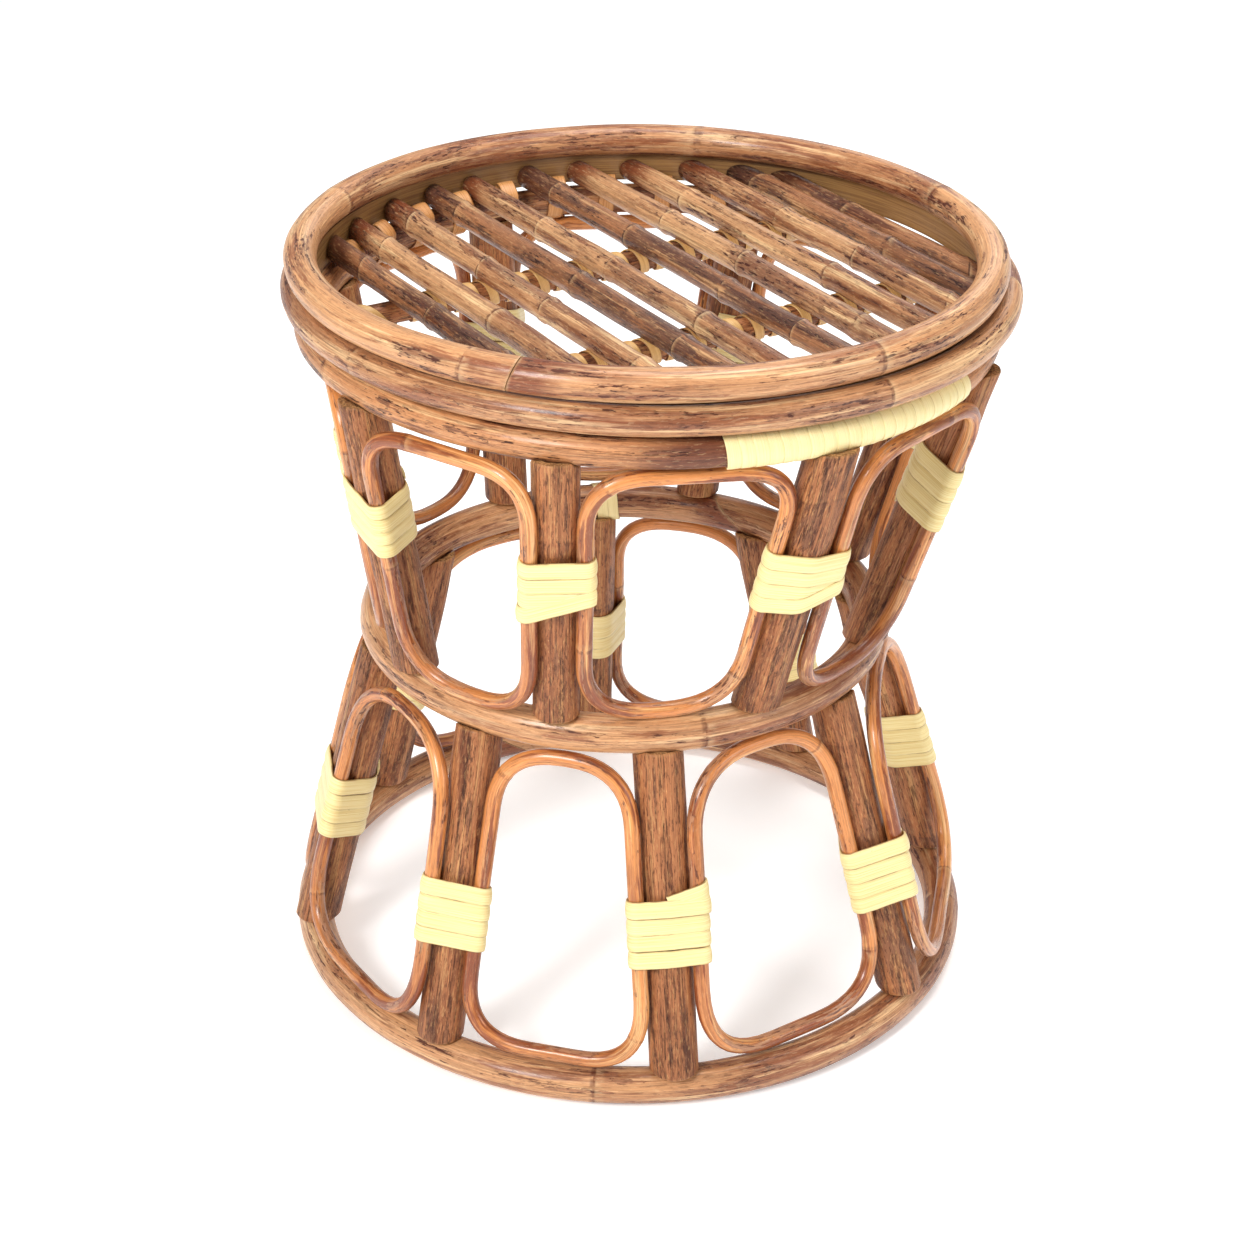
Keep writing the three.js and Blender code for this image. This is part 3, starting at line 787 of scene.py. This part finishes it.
def straight_cane(name, length, sides, step, values, rounding=0.0, dome=0.0):
    piece = line_object(name, [])
    with_modifier(piece, STRAIGHT_CANE, {
        **values, "Length": length * MM, "Sides": sides, "Steps": max(2, round(length / step)),
        "End Rounding": rounding, "End Dome": dome * MM,
    })
    return piece


def make_hoop(name, hoop, material, slack, joint, seed, slant=1.6, **cane):
    """A hoop, slack thinner than in the CAD, with its joint at a bearing."""
    length = 2 * pi * hoop.ring - HOOP_GAP
    values = cane_values(hoop.cane - slack, seed, material, swell=0.02, **cane)
    piece = straight_cane(name + "_cane", length, HOOP_SIDES, HOOP_STEP, values)
    with_modifier(piece, BENT_ON_HOOP, hoop.bend(joint, slant))
    stands_for(baked(piece), "hoop_cane", name)


make_hoop(
    "top_hoop", TOP, HOOP_CANE, slack=0.45, joint=-19.8, seed=1.3, slant=0.35,
    spacing=236, start=0.42, hollows=0.5,
)
make_hoop(
    "middle_hoop", MIDDLE, HOOP_CANE, slack=0.3, joint=82, seed=2.9,
    spacing=262, start=0.2, wander=0.8,
)
make_hoop(
    "rim_hoop", RIM, RIM_CANE_RED, slack=0, joint=13, seed=4.1,
    spacing=246, start=0.7, wander=0.4,
)
make_hoop(
    "waist_hoop", WAIST, HOOP_CANE, slack=0, joint=150, seed=5.7,
    spacing=254, start=0.1, wander=0.8, hollows=0.6,
)
make_hoop(
    "base_hoop", BASE, HOOP_CANE, slack=0.5, joint=205, seed=7.2,
    spacing=284, start=0.5, wander=0.6,
)


# The posts, loops and bindings between two hoops
Tier = namedtuple("Tier", "name above below bearings girths turns places outs shares")
UPPER = Tier(
    "upper", RIM, WAIST, UPPER_BEARINGS, UPPER_GIRTHS, UPPER_LOOP_TURNS, UPPER_BINDING_PLACES,
    outs=(0.6, 1.8), shares=(0.29, 0.46),
)
LOWER = Tier(
    "lower", WAIST, BASE, LOWER_BEARINGS, LOWER_GIRTHS, LOWER_LOOP_TURNS, LOWER_BINDING_PLACES,
    outs=(-1.2, -0.4), shares=(0.46, 0.37),
)
WRAPS = {RIM: RIM_WRAP, WAIST: WAIST_WRAP}
POST_REACH = degrees(POST_RADIUS * max(UPPER_GIRTHS + LOWER_GIRTHS) / WAIST.ring)


def cover_at(hoop, bearing, reach):
    """Room to leave on a hoop: for the strip where it is wound, else for the clearance."""
    if hoop in WRAPS:
        start, end = WRAPS[hoop]
        if start - reach < bearing < end + reach:
            return STRIP_ROOM
    return CLEARANCE


class Post:
    """A leaning post between two hoops."""

    def __init__(self, tier, index):
        above, below = tier.above, tier.below
        head_out, foot_out = tier.outs
        self.bearing = tier.bearings[index]
        self.radius = POST_RADIUS * tier.girths[index]
        self.cover = cover_at(above, self.bearing, POST_REACH)
        foot_level = below.height + below.cane + cover_at(below, self.bearing, POST_REACH)
        head_level = above.height - above.cane * (1 - COPE_SHARE) - self.cover
        self.foot = below.point(self.bearing, foot_out, foot_level)
        self.head = above.point(self.bearing, head_out, head_level)

    def at(self, height):
        share = (height - self.foot.z) / (self.head.z - self.foot.z)
        return self.foot.lerp(self.head, share)


def make_post(tier, index, post, seed):
    length = post.head.z - post.foot.z
    name = f"{tier.name}_post_{index + 1}"
    values = cane_values(
        post.radius * POST_SLIMNESS, seed, POST_CANE,
        spacing=151, start=seed % 1, swell=0.006, girth=0.02, hollows=0.7, wander=0.5,
    )
    piece = straight_cane(name + "_cane", length, POST_SIDES, POST_STEP, values, rounding=0.05)
    above = tier.above
    with_modifier(piece, LEANING_POST, {
        "Length": length * MM,
        "Foot": tuple(post.foot * MM),
        "Head": tuple(post.head * MM),
        "Hoop Centre": above.middle,
        "Ring": above.ring * MM,
        "Hoop Cane": (above.cane + post.cover) * MM,
    })
    stands_for(baked(piece), "post_cane", name)


def outward(bearing):
    angle = radians(bearing)
    return Vector((sin(angle), -cos(angle), 0))


def loop_levels(tier, left, right):
    """Heights of the bottom and the top of a loop, to the middle of its cane."""
    turn = (right.bearing - left.bearing) % 360
    bearing = left.bearing + turn / 2
    above, below = tier.above, tier.below
    top = above.height - above.cane - cover_at(above, bearing, turn / 2) - LOOP_CANE - LOOP_AIR
    bottom = below.height + below.cane + cover_at(below, bearing, turn / 2) + LOOP_CANE + LOOP_AIR
    return bottom, top


def loop_side(post, turn, levels):
    """The straight side of a loop, which lies along its post."""
    direction = outward(post.bearing + turn)
    tilt = (post.head - post.foot).normalized().dot(direction)
    off = direction * (post.radius + LOOP_CANE + LOOP_AIR) / sqrt(1 - tilt ** 2)
    return tuple(post.at(level) + off for level in levels)


def on_side(side, height):
    bottom, top = side
    return bottom.lerp(top, (height - bottom.z) / (top.z - bottom.z))


def rounded(corners, sizes):
    """The line through the corners, each one rounded over its size."""
    points = []
    for i, corner in enumerate(corners):
        before = corners[i - 1]
        after = corners[(i + 1) % len(corners)]
        start = corner + (before - corner).normalized() * sizes[i]
        end = corner + (after - corner).normalized() * sizes[i]
        for k in range(CORNER_STEPS + 1):
            t = k / CORNER_STEPS
            points.append((1 - t) ** 2 * start + 2 * t * (1 - t) * corner + t * t * end)
    return points


def make_loop(tier, index, left_side, right_side, seed):
    """A closed loop, whose ends meet under the binding on its left."""
    left_bottom, left_top = left_side
    right_bottom, right_top = right_side
    top_share, bottom_share = tier.shares
    top_size = top_share * (left_top - right_top).length
    bottom_size = bottom_share * (left_bottom - right_bottom).length
    points = rounded(
        [left_top, right_top, right_bottom, left_bottom],
        [top_size, top_size, bottom_size, bottom_size],
    )
    start = left_bottom.lerp(left_top, tier.places[index])
    gap = (left_top - left_bottom).normalized() * LOOP_GAP
    name = f"{tier.name}_loop_{index + 1}"
    piece = line_object(name + "_cane", [start + gap, *points, start - gap])
    values = cane_values(
        LOOP_CANE, seed, LOOP_CANE_SKIN,
        spacing=167, start=(seed * SEED_RUN) % 1, swell=0.045, hollows=0.15, wander=0.7,
    )
    with_modifier(piece, BENT_CANE, {**values, "Sides": LOOP_SIDES, "Step": LOOP_STEP * MM})
    stands_for(baked(piece), "loop_cane", name)


# ---- Wound strips

def run_angle(first, second):
    """Direction of the straight run of a band from one circle to the next, anticlockwise."""
    apart = second[0] - first[0]
    lean = asin((first[1] - second[1]) / apart.length)
    return atan2(apart.y, apart.x) - pi / 2 + lean


def band_points(circles, step_angle=0.14):
    """The line of a band drawn tight round circles, each a middle and a radius."""
    points = []
    for i, (middle, radius) in enumerate(circles):
        before = circles[i - 1]
        after = circles[(i + 1) % len(circles)]
        start = run_angle(before, (middle, radius))
        sweep = (run_angle((middle, radius), after) - start) % (2 * pi)
        steps = max(1, ceil(sweep / step_angle))
        for k in range(steps + 1):
            angle = start + sweep * k / steps
            points.append(middle + radius * Vector((cos(angle), sin(angle))))
    return points


def eased(value):
    share = min(1.0, max(0.0, value))
    return share * share * (3 - 2 * share)


def wound_path(ring, turns, pitch, start_at, chance, slip, drop=0.0, rise=0.0, over=0.0, tilt=0.0):
    """Turns of a closed band drawn out along Z, with the small slips of handwork.

    The strip starts at an angle of the band, 0 at its front. Where drop is set, the first end
    starts low and the second turn covers it. Where rise is set, the last end climbs over the rest.
    Over is how far what covers another turn is pushed out, and tilt is how much each turn climbs
    to the right on the front.
    """
    lengths = [0.0]
    for a, b in zip(ring, ring[1:] + ring[:1]):
        lengths.append(lengths[-1] + (b - a).length)
    total = lengths[-1]
    centre = sum(ring, Vector((0, 0))) / len(ring)
    wanted = outward(start_at).xy
    first = max(range(len(ring)), key=lambda k: (ring[k] - centre).normalized().dot(wanted))
    slips = [chance.uniform(-slip, slip) for _ in range(int(turns) + 3)]
    points = []
    for i in range(int(turns * len(ring)) + 1):
        k = (first + i) % len(ring)
        turn = (lengths[k] - lengths[first]) / total + (first + i) // len(ring)
        whole = int(turn)
        height = slips[whole] + (slips[whole + 1] - slips[whole]) * (turn - whole)
        height -= (turn - turns / 2) * pitch - tilt * (ring[k] - centre).x
        push = 0.0
        # The numbers below are turns: where an end falls or climbs, and where it is pushed out
        if drop:
            height -= drop * (1 - eased(turn / 0.24))
            push += over * eased((turn - 0.8) / 0.12) * (1 - eased((turn - 1.22) / 0.12))
        if rise:
            height += rise * eased((turn - turns + 0.36) / 0.34)
            push += over * eased((turn - turns + 0.46) / 0.1)
        place = ring[k] + (ring[k] - centre).normalized() * push
        points.append(Vector((place.x, place.y, height)))
    return points


def wound_strip(
    name, path, material, chance, width, crown, lap, step=1.6, thickness=STRIP_THICKNESS,
):
    """A strip laid along a wound path, with a pattern of its own."""
    piece = line_object(name, path)
    with_modifier(piece, WOUND_STRIP, {
        "Step": step * MM, "Width": width * MM, "Thickness": thickness * MM,
        "Crown": crown * MM, "Lap": lap * MM, "Seed": chance.uniform(*PATTERN_SHIFTS),
        "Material": material,
    })
    return piece


BINDING_SLIP = 0.6
# How a binding is wound: turns, pitch, angle of the start, drop, rise, push over and tilt
BACK_START = (4.0, TURN_PITCH, 170, 0, 0, 0, 0.06)
TIGHT_START = (4.0, 7.2, 170, 0, 0, 0, 0.03)
SEEN_START = (4.42, TURN_PITCH, 8, 6.5, 0, 0.85, 0.12)
RIGHT_START = (4.36, TURN_PITCH, 42, 6.0, 0, 0.85, 0.1)
CROSSED_END = (3.74, TURN_PITCH, 175, 0, 9.5, 1.0, 0.02)
UPPER_WINDINGS = [
    BACK_START, TIGHT_START, CROSSED_END, CROSSED_END,
    BACK_START, BACK_START, CROSSED_END, BACK_START,
]
LOWER_WINDINGS = [
    BACK_START, BACK_START, SEEN_START, RIGHT_START,
    BACK_START, SEEN_START, BACK_START, CROSSED_END,
]
LAP_WIDTH = 0.15
WAVER_ROOM = 0.15


def make_binding(tier, index, post, winding, left_side, right_side, chance):
    """A strip wound round a post and the sides of the loops on its left and right."""
    axis = (post.head - post.foot).normalized()
    height = post.foot.z + tier.places[index] * (post.head.z - post.foot.z)
    middle = post.at(height)
    across = UP.cross(outward(post.bearing)).normalized()
    inward = axis.cross(across).normalized()
    pad = STRIP_THICKNESS / 2 + CLEARANCE

    def side_circle(side):
        offset = on_side(side, height) - middle
        return Vector((offset.dot(across), offset.dot(inward))), LOOP_CANE + pad + WAVER_ROOM

    post_circle = (Vector((0, 0)), post.radius + pad)
    left = side_circle(left_side)
    right = side_circle(right_side)
    circles = [post_circle, left, right]
    direction = run_angle(left, right)
    facing = Vector((cos(direction), sin(direction)))
    front = (left[0] - post_circle[0]).dot(facing) + left[1]
    if post_circle[1] > front:
        circles = [post_circle, left, post_circle, right]
    turns, pitch, start_at, *ends = winding
    path = wound_path(band_points(circles), turns, pitch, start_at, chance, BINDING_SLIP, *ends)
    name = f"{tier.name}_binding_{index + 1}"
    width = pitch + LAP_WIDTH
    piece = wound_strip(name + "_strip", path, PALE_STRIP, chance, width, crown=0.5, lap=0.34)
    stands_for(laid(baked(piece), middle, across, inward, axis), "strip", name)


def make_tier(tier, windings, seed):
    """All of a tier. Each cane's seed places its joints and its marks."""
    chance = random.Random(seed)
    count = len(tier.bearings)
    posts = [Post(tier, i) for i in range(count)]
    for i, post in enumerate(posts):
        make_post(tier, i, post, seed + 1.7 * i)
    sides = []
    for i, post in enumerate(posts):
        after = posts[(i + 1) % count]
        left_turn, right_turn = tier.turns[i]
        levels = loop_levels(tier, post, after)
        sides.append((loop_side(post, left_turn, levels), loop_side(after, right_turn, levels)))
        make_loop(tier, i, *sides[i], seed + 40 + 2.3 * i)
    for i, post in enumerate(posts):
        make_binding(tier, i, post, windings[i], sides[i - 1][1], sides[i][0], chance)


make_tier(UPPER, UPPER_WINDINGS, 11)
make_tier(LOWER, LOWER_WINDINGS, 83)


def circle_points(radius, count=24):
    angles = [2 * pi * k / count for k in range(count)]
    return [radius * Vector((cos(angle), sin(angle))) for angle in angles]


def strip_on_hoop(name, hoop, path, first_bearing, width, chance, material):
    """Bends a wound path round a hoop from a bearing, and lays the strip along it."""
    piece = wound_strip(name, path, material, chance, width, crown=0.2, lap=0.14, step=1.8)
    with_modifier(piece, BENT_ON_HOOP, hoop.bend(first_bearing))
    return baked(piece)


def strip_round_hoop(name, hoop, chance):
    """Turns of narrow strip round the stretch of hoop that is wrapped."""
    start, end = WRAPS[hoop]
    ring = circle_points(hoop.cane + CLEARANCE + STRIP_THICKNESS / 2)
    length = hoop.ring * radians(end - start) - WRAP_WIDTH
    pitch = WRAP_WIDTH * WRAP_SPACING
    path = wound_path(ring, max(1.0, length / pitch), pitch, 90, chance, WRAP_SLIP)
    path = [Vector((p.x, p.y, length / 2 - p.z)) for p in path]
    bearing = start + degrees(WRAP_WIDTH / 2 / hoop.ring)
    piece = strip_on_hoop(name + "_strip", hoop, path, bearing, WRAP_WIDTH, chance, WRAP_STRIP)
    stands_for(piece, "strip", name)


wrap_chance = random.Random(5)
strip_round_hoop("rim_wrap", RIM, wrap_chance)
strip_round_hoop("waist_wrap", WAIST, wrap_chance)


# ---- The seat

CAD_HOOP_SIDES = 8
CAD_HOOP_STEPS = 40
BAR_ROOM = 1.08
SLAT_HEIGHT = RIM_HEIGHT + RIM_CANE + STRIP_ROOM + SLAT_RADIUS
BATTEN_HEIGHT = SLAT_HEIGHT - SLAT_RADIUS - BATTEN_RADIUS + NOTCH_DEPTH
SLATS_INSIDE = MIDDLE.ring - MIDDLE.cane - CLEARANCE - STRIP_THICKNESS
BATTENS_INSIDE = RIM.ring - RIM.cane / cos(pi / CAD_HOOP_SIDES)


def laid_bar(piece, hoop, run, place, height, half):
    """Lays a straight piece on its side, across the inside of a ring."""
    along = Vector((cos(run), sin(run), 0))
    sideways = Vector((-along.y, along.x, 0))
    start = Vector((hoop.centre.x, hoop.centre.y, height)) + sideways * place - along * half
    return laid(piece, start, sideways, UP, along)


def ring_reach(inside):
    return inside * cos(pi / CAD_HOOP_STEPS) - CLEARANCE


def bar_half(inside, place, radius):
    """Half the length of a bar that just fits, square ended, inside a ring."""
    return sqrt(ring_reach(inside) ** 2 - (abs(place) + radius * BAR_ROOM) ** 2)


seat_chance = random.Random(21)
seat_canes = []
for i, share in enumerate(SLAT_PLACES):
    place = share * SLATS_INSIDE
    half = bar_half(SLATS_INSIDE, place, SLAT_RADIUS)
    values = cane_values(
        SLAT_RADIUS, 60 + 3.1 * i, SLAT_CANE_DARK if i in DARK_SLATS else SLAT_CANE,
        spacing=seat_chance.uniform(72, 104), start=seat_chance.random(),
        swell=0.12, girth=0.08, hollows=0.7, wander=2.2,
    )
    slat = straight_cane(
        f"seat_slat_{i + 1}", 2 * half, SLAT_SIDES, SLAT_STEP, values, rounding=0.22, dome=1.0,
    )
    with_modifier(slat, MITRED, {
        "Length": 2 * half * MM, "Inside": ring_reach(SLATS_INSIDE) * MM, "Place": place * MM,
    })
    seat_canes.append(laid_bar(baked(slat), MIDDLE, SLAT_RUN, place, SLAT_HEIGHT, half))

batten_bars = []
for share in BATTEN_PLACES:
    place = share * BATTENS_INSIDE
    batten_bars.append((place, bar_half(BATTENS_INSIDE, place, BATTEN_RADIUS)))


def laid_on_batten(piece, place, half):
    return laid_bar(baked(piece), RIM, SLAT_RUN + pi / 2, place, BATTEN_HEIGHT, half)


for i, (place, half) in enumerate(batten_bars):
    values = cane_values(
        BATTEN_RADIUS * BATTEN_SLIMNESS, 120 + 3.1 * i, POST_CANE,
        spacing=95, start=0.4 * i, swell=0.04, hollows=0.3, wander=0.4,
    )
    batten = straight_cane(
        f"seat_batten_{i + 1}", 2 * half, BATTEN_SIDES, BATTEN_STEP, values, rounding=0.1, dome=0.3,
    )
    seat_canes.append(laid_on_batten(batten, place, half))

along_slats = Vector((cos(SLAT_RUN), sin(SLAT_RUN)))
across_slats = Vector((-along_slats.y, along_slats.x))
SEAT_SHIFT = (MIDDLE.centre - RIM.centre).dot(across_slats)
WINDING_END = 4
UNDER_SLAT = SLAT_RADIUS - 0.5


def batten_winding(name, place, half):
    """One strip along a batten: two turns in each gap between slats, and one under each slat."""
    ring = circle_points(BATTEN_RADIUS + CLEARANCE + STRIP_THICKNESS / 2, 20)
    knots = [-half + WINDING_END]
    turns = [1.0]
    for left, right in zip(SLAT_PLACES, SLAT_PLACES[1:]):
        for share, side in ((left, 1), (right, -1)):
            knots.append(share * SLATS_INSIDE + side * UNDER_SLAT + SEAT_SHIFT)
        turns += [2.0, 1.0]
    knots.append(half - WINDING_END)
    points = []
    for low, high, count in zip(knots, knots[1:], turns):
        steps = count * len(ring)
        for k in range(int(steps)):
            points.append((*ring[k % len(ring)], half + low + (high - low) * k / steps))
    piece = wound_strip(
        name, points, SEAT_STRIP, seat_chance, width=5.2, crown=0.15, lap=0.0, thickness=0.6,
    )
    stands_for(laid_on_batten(piece, place, half), "strip")


for i, (place, half) in enumerate(batten_bars):
    batten_winding(f"batten_winding_{i + 1}", place, half)

# Ties of strip on the back half of the rim hoop, between the ends of the slats. Each is a turn,
# or half of one above a post: turns, angle of the start and pitch.
WHOLE_TURN = (1.0, -90, 3.5)
HALF_TURN = (0.5, -5, 1.0)
POST_ROOM = 7.5
TIE_FROM = 92
TIE_WIDTH = 9.5
TIE_EAR = 9.5
TIE_SLIP = 0.1
TIE_CORNERS = 54


def tie_ring(hoop, ear):
    """The round of a tie, drawn close to the hoop and standing up slack inside its top."""
    ring = circle_points(hoop.cane + CLEARANCE + STRIP_THICKNESS / 2, TIE_CORNERS)
    for i, point in enumerate(ring):
        angle = degrees(atan2(point.y, point.x))
        share = eased((-4 - angle) / 12) * eased((angle + 82) / 30)
        ring[i] = point * (1 + ear * share / point.length)
    return ring


tie_count = 0
for left, right in zip(SLAT_PLACES, SLAT_PLACES[1:]):
    place = (left + right) / 2 * SLATS_INSIDE
    for end in (-1, 1):
        half = bar_half(SLATS_INSIDE, place, SLAT_RADIUS) * end
        spot = MIDDLE.centre + across_slats * place + along_slats * half - RIM.centre
        bearing = degrees(atan2(spot.x, -spot.y))
        if abs(bearing) < TIE_FROM:
            continue
        far = min(abs((bearing - post + 180) % 360 - 180) for post in UPPER_BEARINGS)
        turns, start_at, pitch = HALF_TURN if far < POST_ROOM else WHOLE_TURN
        ring = tie_ring(RIM, TIE_EAR * (1 - abs(left + right) / 4))
        path = wound_path(ring, turns, pitch, start_at, seat_chance, TIE_SLIP)
        tie_count += 1
        name = f"rim_tie_{tie_count}"
        tie = strip_on_hoop(name, RIM, path, bearing, TIE_WIDTH, seat_chance, TIE_STRIP)
        stands_for(tie, "strip")

for piece in seat_canes:
    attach(piece, "root")
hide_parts("seat_grid")


# ---- The strip that lines the middle hoop

LINING_STEPS = 180
LINING_EDGE = 0.8
lining_low = RIM_HEIGHT + RIM_CANE + STRIP_ROOM
lining_high = TOP_HEIGHT - TOP_CANE - CLEARANCE
lining_ring = MIDDLE.ring - MIDDLE.cane - CLEARANCE - STRIP_THICKNESS / 2
lining_outside = lining_ring + STRIP_THICKNESS / 2
lining_inside = lining_ring - STRIP_THICKNESS / 2
section = (
    (lining_outside, lining_low, -1), (lining_outside, lining_high, 1),
    (lining_inside, lining_high, 1), (lining_inside, lining_low, -1),
)
lining_points = []
lining_faces = []
strip_places = []
for k in range(LINING_STEPS):
    angle = 2 * pi * k / LINING_STEPS
    here = 4 * k
    there = 4 * ((k + 1) % LINING_STEPS)
    for j, (radius, height, level) in enumerate(section):
        x = MIDDLE.centre.x + radius * sin(angle)
        y = MIDDLE.centre.y - radius * cos(angle)
        lining_points.append((x * MM, y * MM, height * MM))
        after = (j + 1) % 4
        lining_faces.append((here + j, there + j, there + after, here + after))
        strip_places += [level * LINING_EDGE, 0.0, lining_ring * MM * angle]
lining = bpy.data.meshes.new("rim_lining_strip")
lining.from_pydata(lining_points, [], lining_faces)
# Its material has painted shade darkened into its colours
lining.materials.append(SHADE_DARKENED_LINING_STRIP)
layer = lining.attributes.new("strip", "FLOAT_VECTOR", "POINT")
layer.data.foreach_set("vector", strip_places)
stands_for(new_object("rim_lining_strip", lining), "strip", "rim_lining")


# ---- Stage, light and camera

FLOOR_HALF = 12
FLOOR_GLOW = 0.28
SEAT_POINT = Vector((0, 0, 0.2))
WHITE = (1, 1, 1, 1)
FLOOR_GREY = (0.93, 0.93, 0.93, 1)

floor_mesh = bpy.data.meshes.new("floor")
floor_corners = [
    (x * FLOOR_HALF, y * FLOOR_HALF, 0) for x, y in ((-1, -1), (1, -1), (1, 1), (-1, 1))
]
floor_mesh.from_pydata(floor_corners, [], [(0, 1, 2, 3)])
floor = new_object("floor", floor_mesh)
floor_material, _ = new_material("pale floor")
glow = {"Emission Color": WHITE, "Emission Strength": FLOOR_GLOW}
floor_mesh.materials.append(with_surface(floor_material, FLOOR_GREY, 0.9, glow))


def soft_light(name, place, size, power):
    """A round lamp that shines on the seat."""
    lamp = bpy.data.lights.new(name, "AREA")
    lamp.shape = "DISK"
    lamp.size = size
    lamp.energy = power
    lamp_object = new_object(name, lamp)
    lamp_object.location = place
    aim = SEAT_POINT - Vector(place)
    lamp_object.rotation_euler = aim.to_track_quat("-Z", "Y").to_euler()


soft_light("key light", (-1.2, -1.75, 1.7), 0.8, 53)
soft_light("top light", (0.3, 0.2, 2.4), 1.3, 36)
soft_light("right fill", (1.8, -1.2, 1.2), 1.2, 14)
soft_light("back light", (0.6, 2.0, 1.4), 1.4, 7)

world = bpy.data.worlds.new("pale room")
world.use_nodes = True
world.node_tree.nodes["Background"].inputs["Color"].default_value = WHITE
world.node_tree.nodes["Background"].inputs["Strength"].default_value = 0.37
scene.world = world
scene.view_settings.view_transform = "Standard"

# The camera that took the photograph: millimetres, degrees and pixels of the photograph
VIEW_ELEVATION = radians(27.9)
VIEW_ROLL = radians(0.84)
VIEW_DISTANCE = 1398.1
VIEW_TARGET_HEIGHT = 201.5
FOCAL_PIXELS = 2605.89
PHOTO_PIXELS = 1254
CENTRE_PIXELS = (632.91, 591.12)
SENSOR_WIDTH = 36

camera_data = bpy.data.cameras.new("camera")
camera_data.sensor_width = SENSOR_WIDTH
camera_data.lens = SENSOR_WIDTH * FOCAL_PIXELS / PHOTO_PIXELS
camera_data.shift_x = (PHOTO_PIXELS / 2 - CENTRE_PIXELS[0]) / PHOTO_PIXELS
camera_data.shift_y = (CENTRE_PIXELS[1] - PHOTO_PIXELS / 2) / PHOTO_PIXELS
camera_data.clip_start = 0.05
camera_data.clip_end = 60
camera = new_object("camera", camera_data)
target = Vector((BASE_CENTRE.x, BASE_CENTRE.y, VIEW_TARGET_HEIGHT)) * MM
away = Vector((0, -cos(VIEW_ELEVATION), sin(VIEW_ELEVATION)))
level_right = Vector((1, 0, 0))
level_up = away.cross(level_right)
right = level_right * cos(VIEW_ROLL) + level_up * sin(VIEW_ROLL)
upward = level_up * cos(VIEW_ROLL) - level_right * sin(VIEW_ROLL)
turn = Matrix((right, upward, away)).transposed().to_4x4()
camera.matrix_world = Matrix.Translation(target + away * VIEW_DISTANCE * MM) @ turn
scene.camera = camera

bpy.context.view_layer.update()
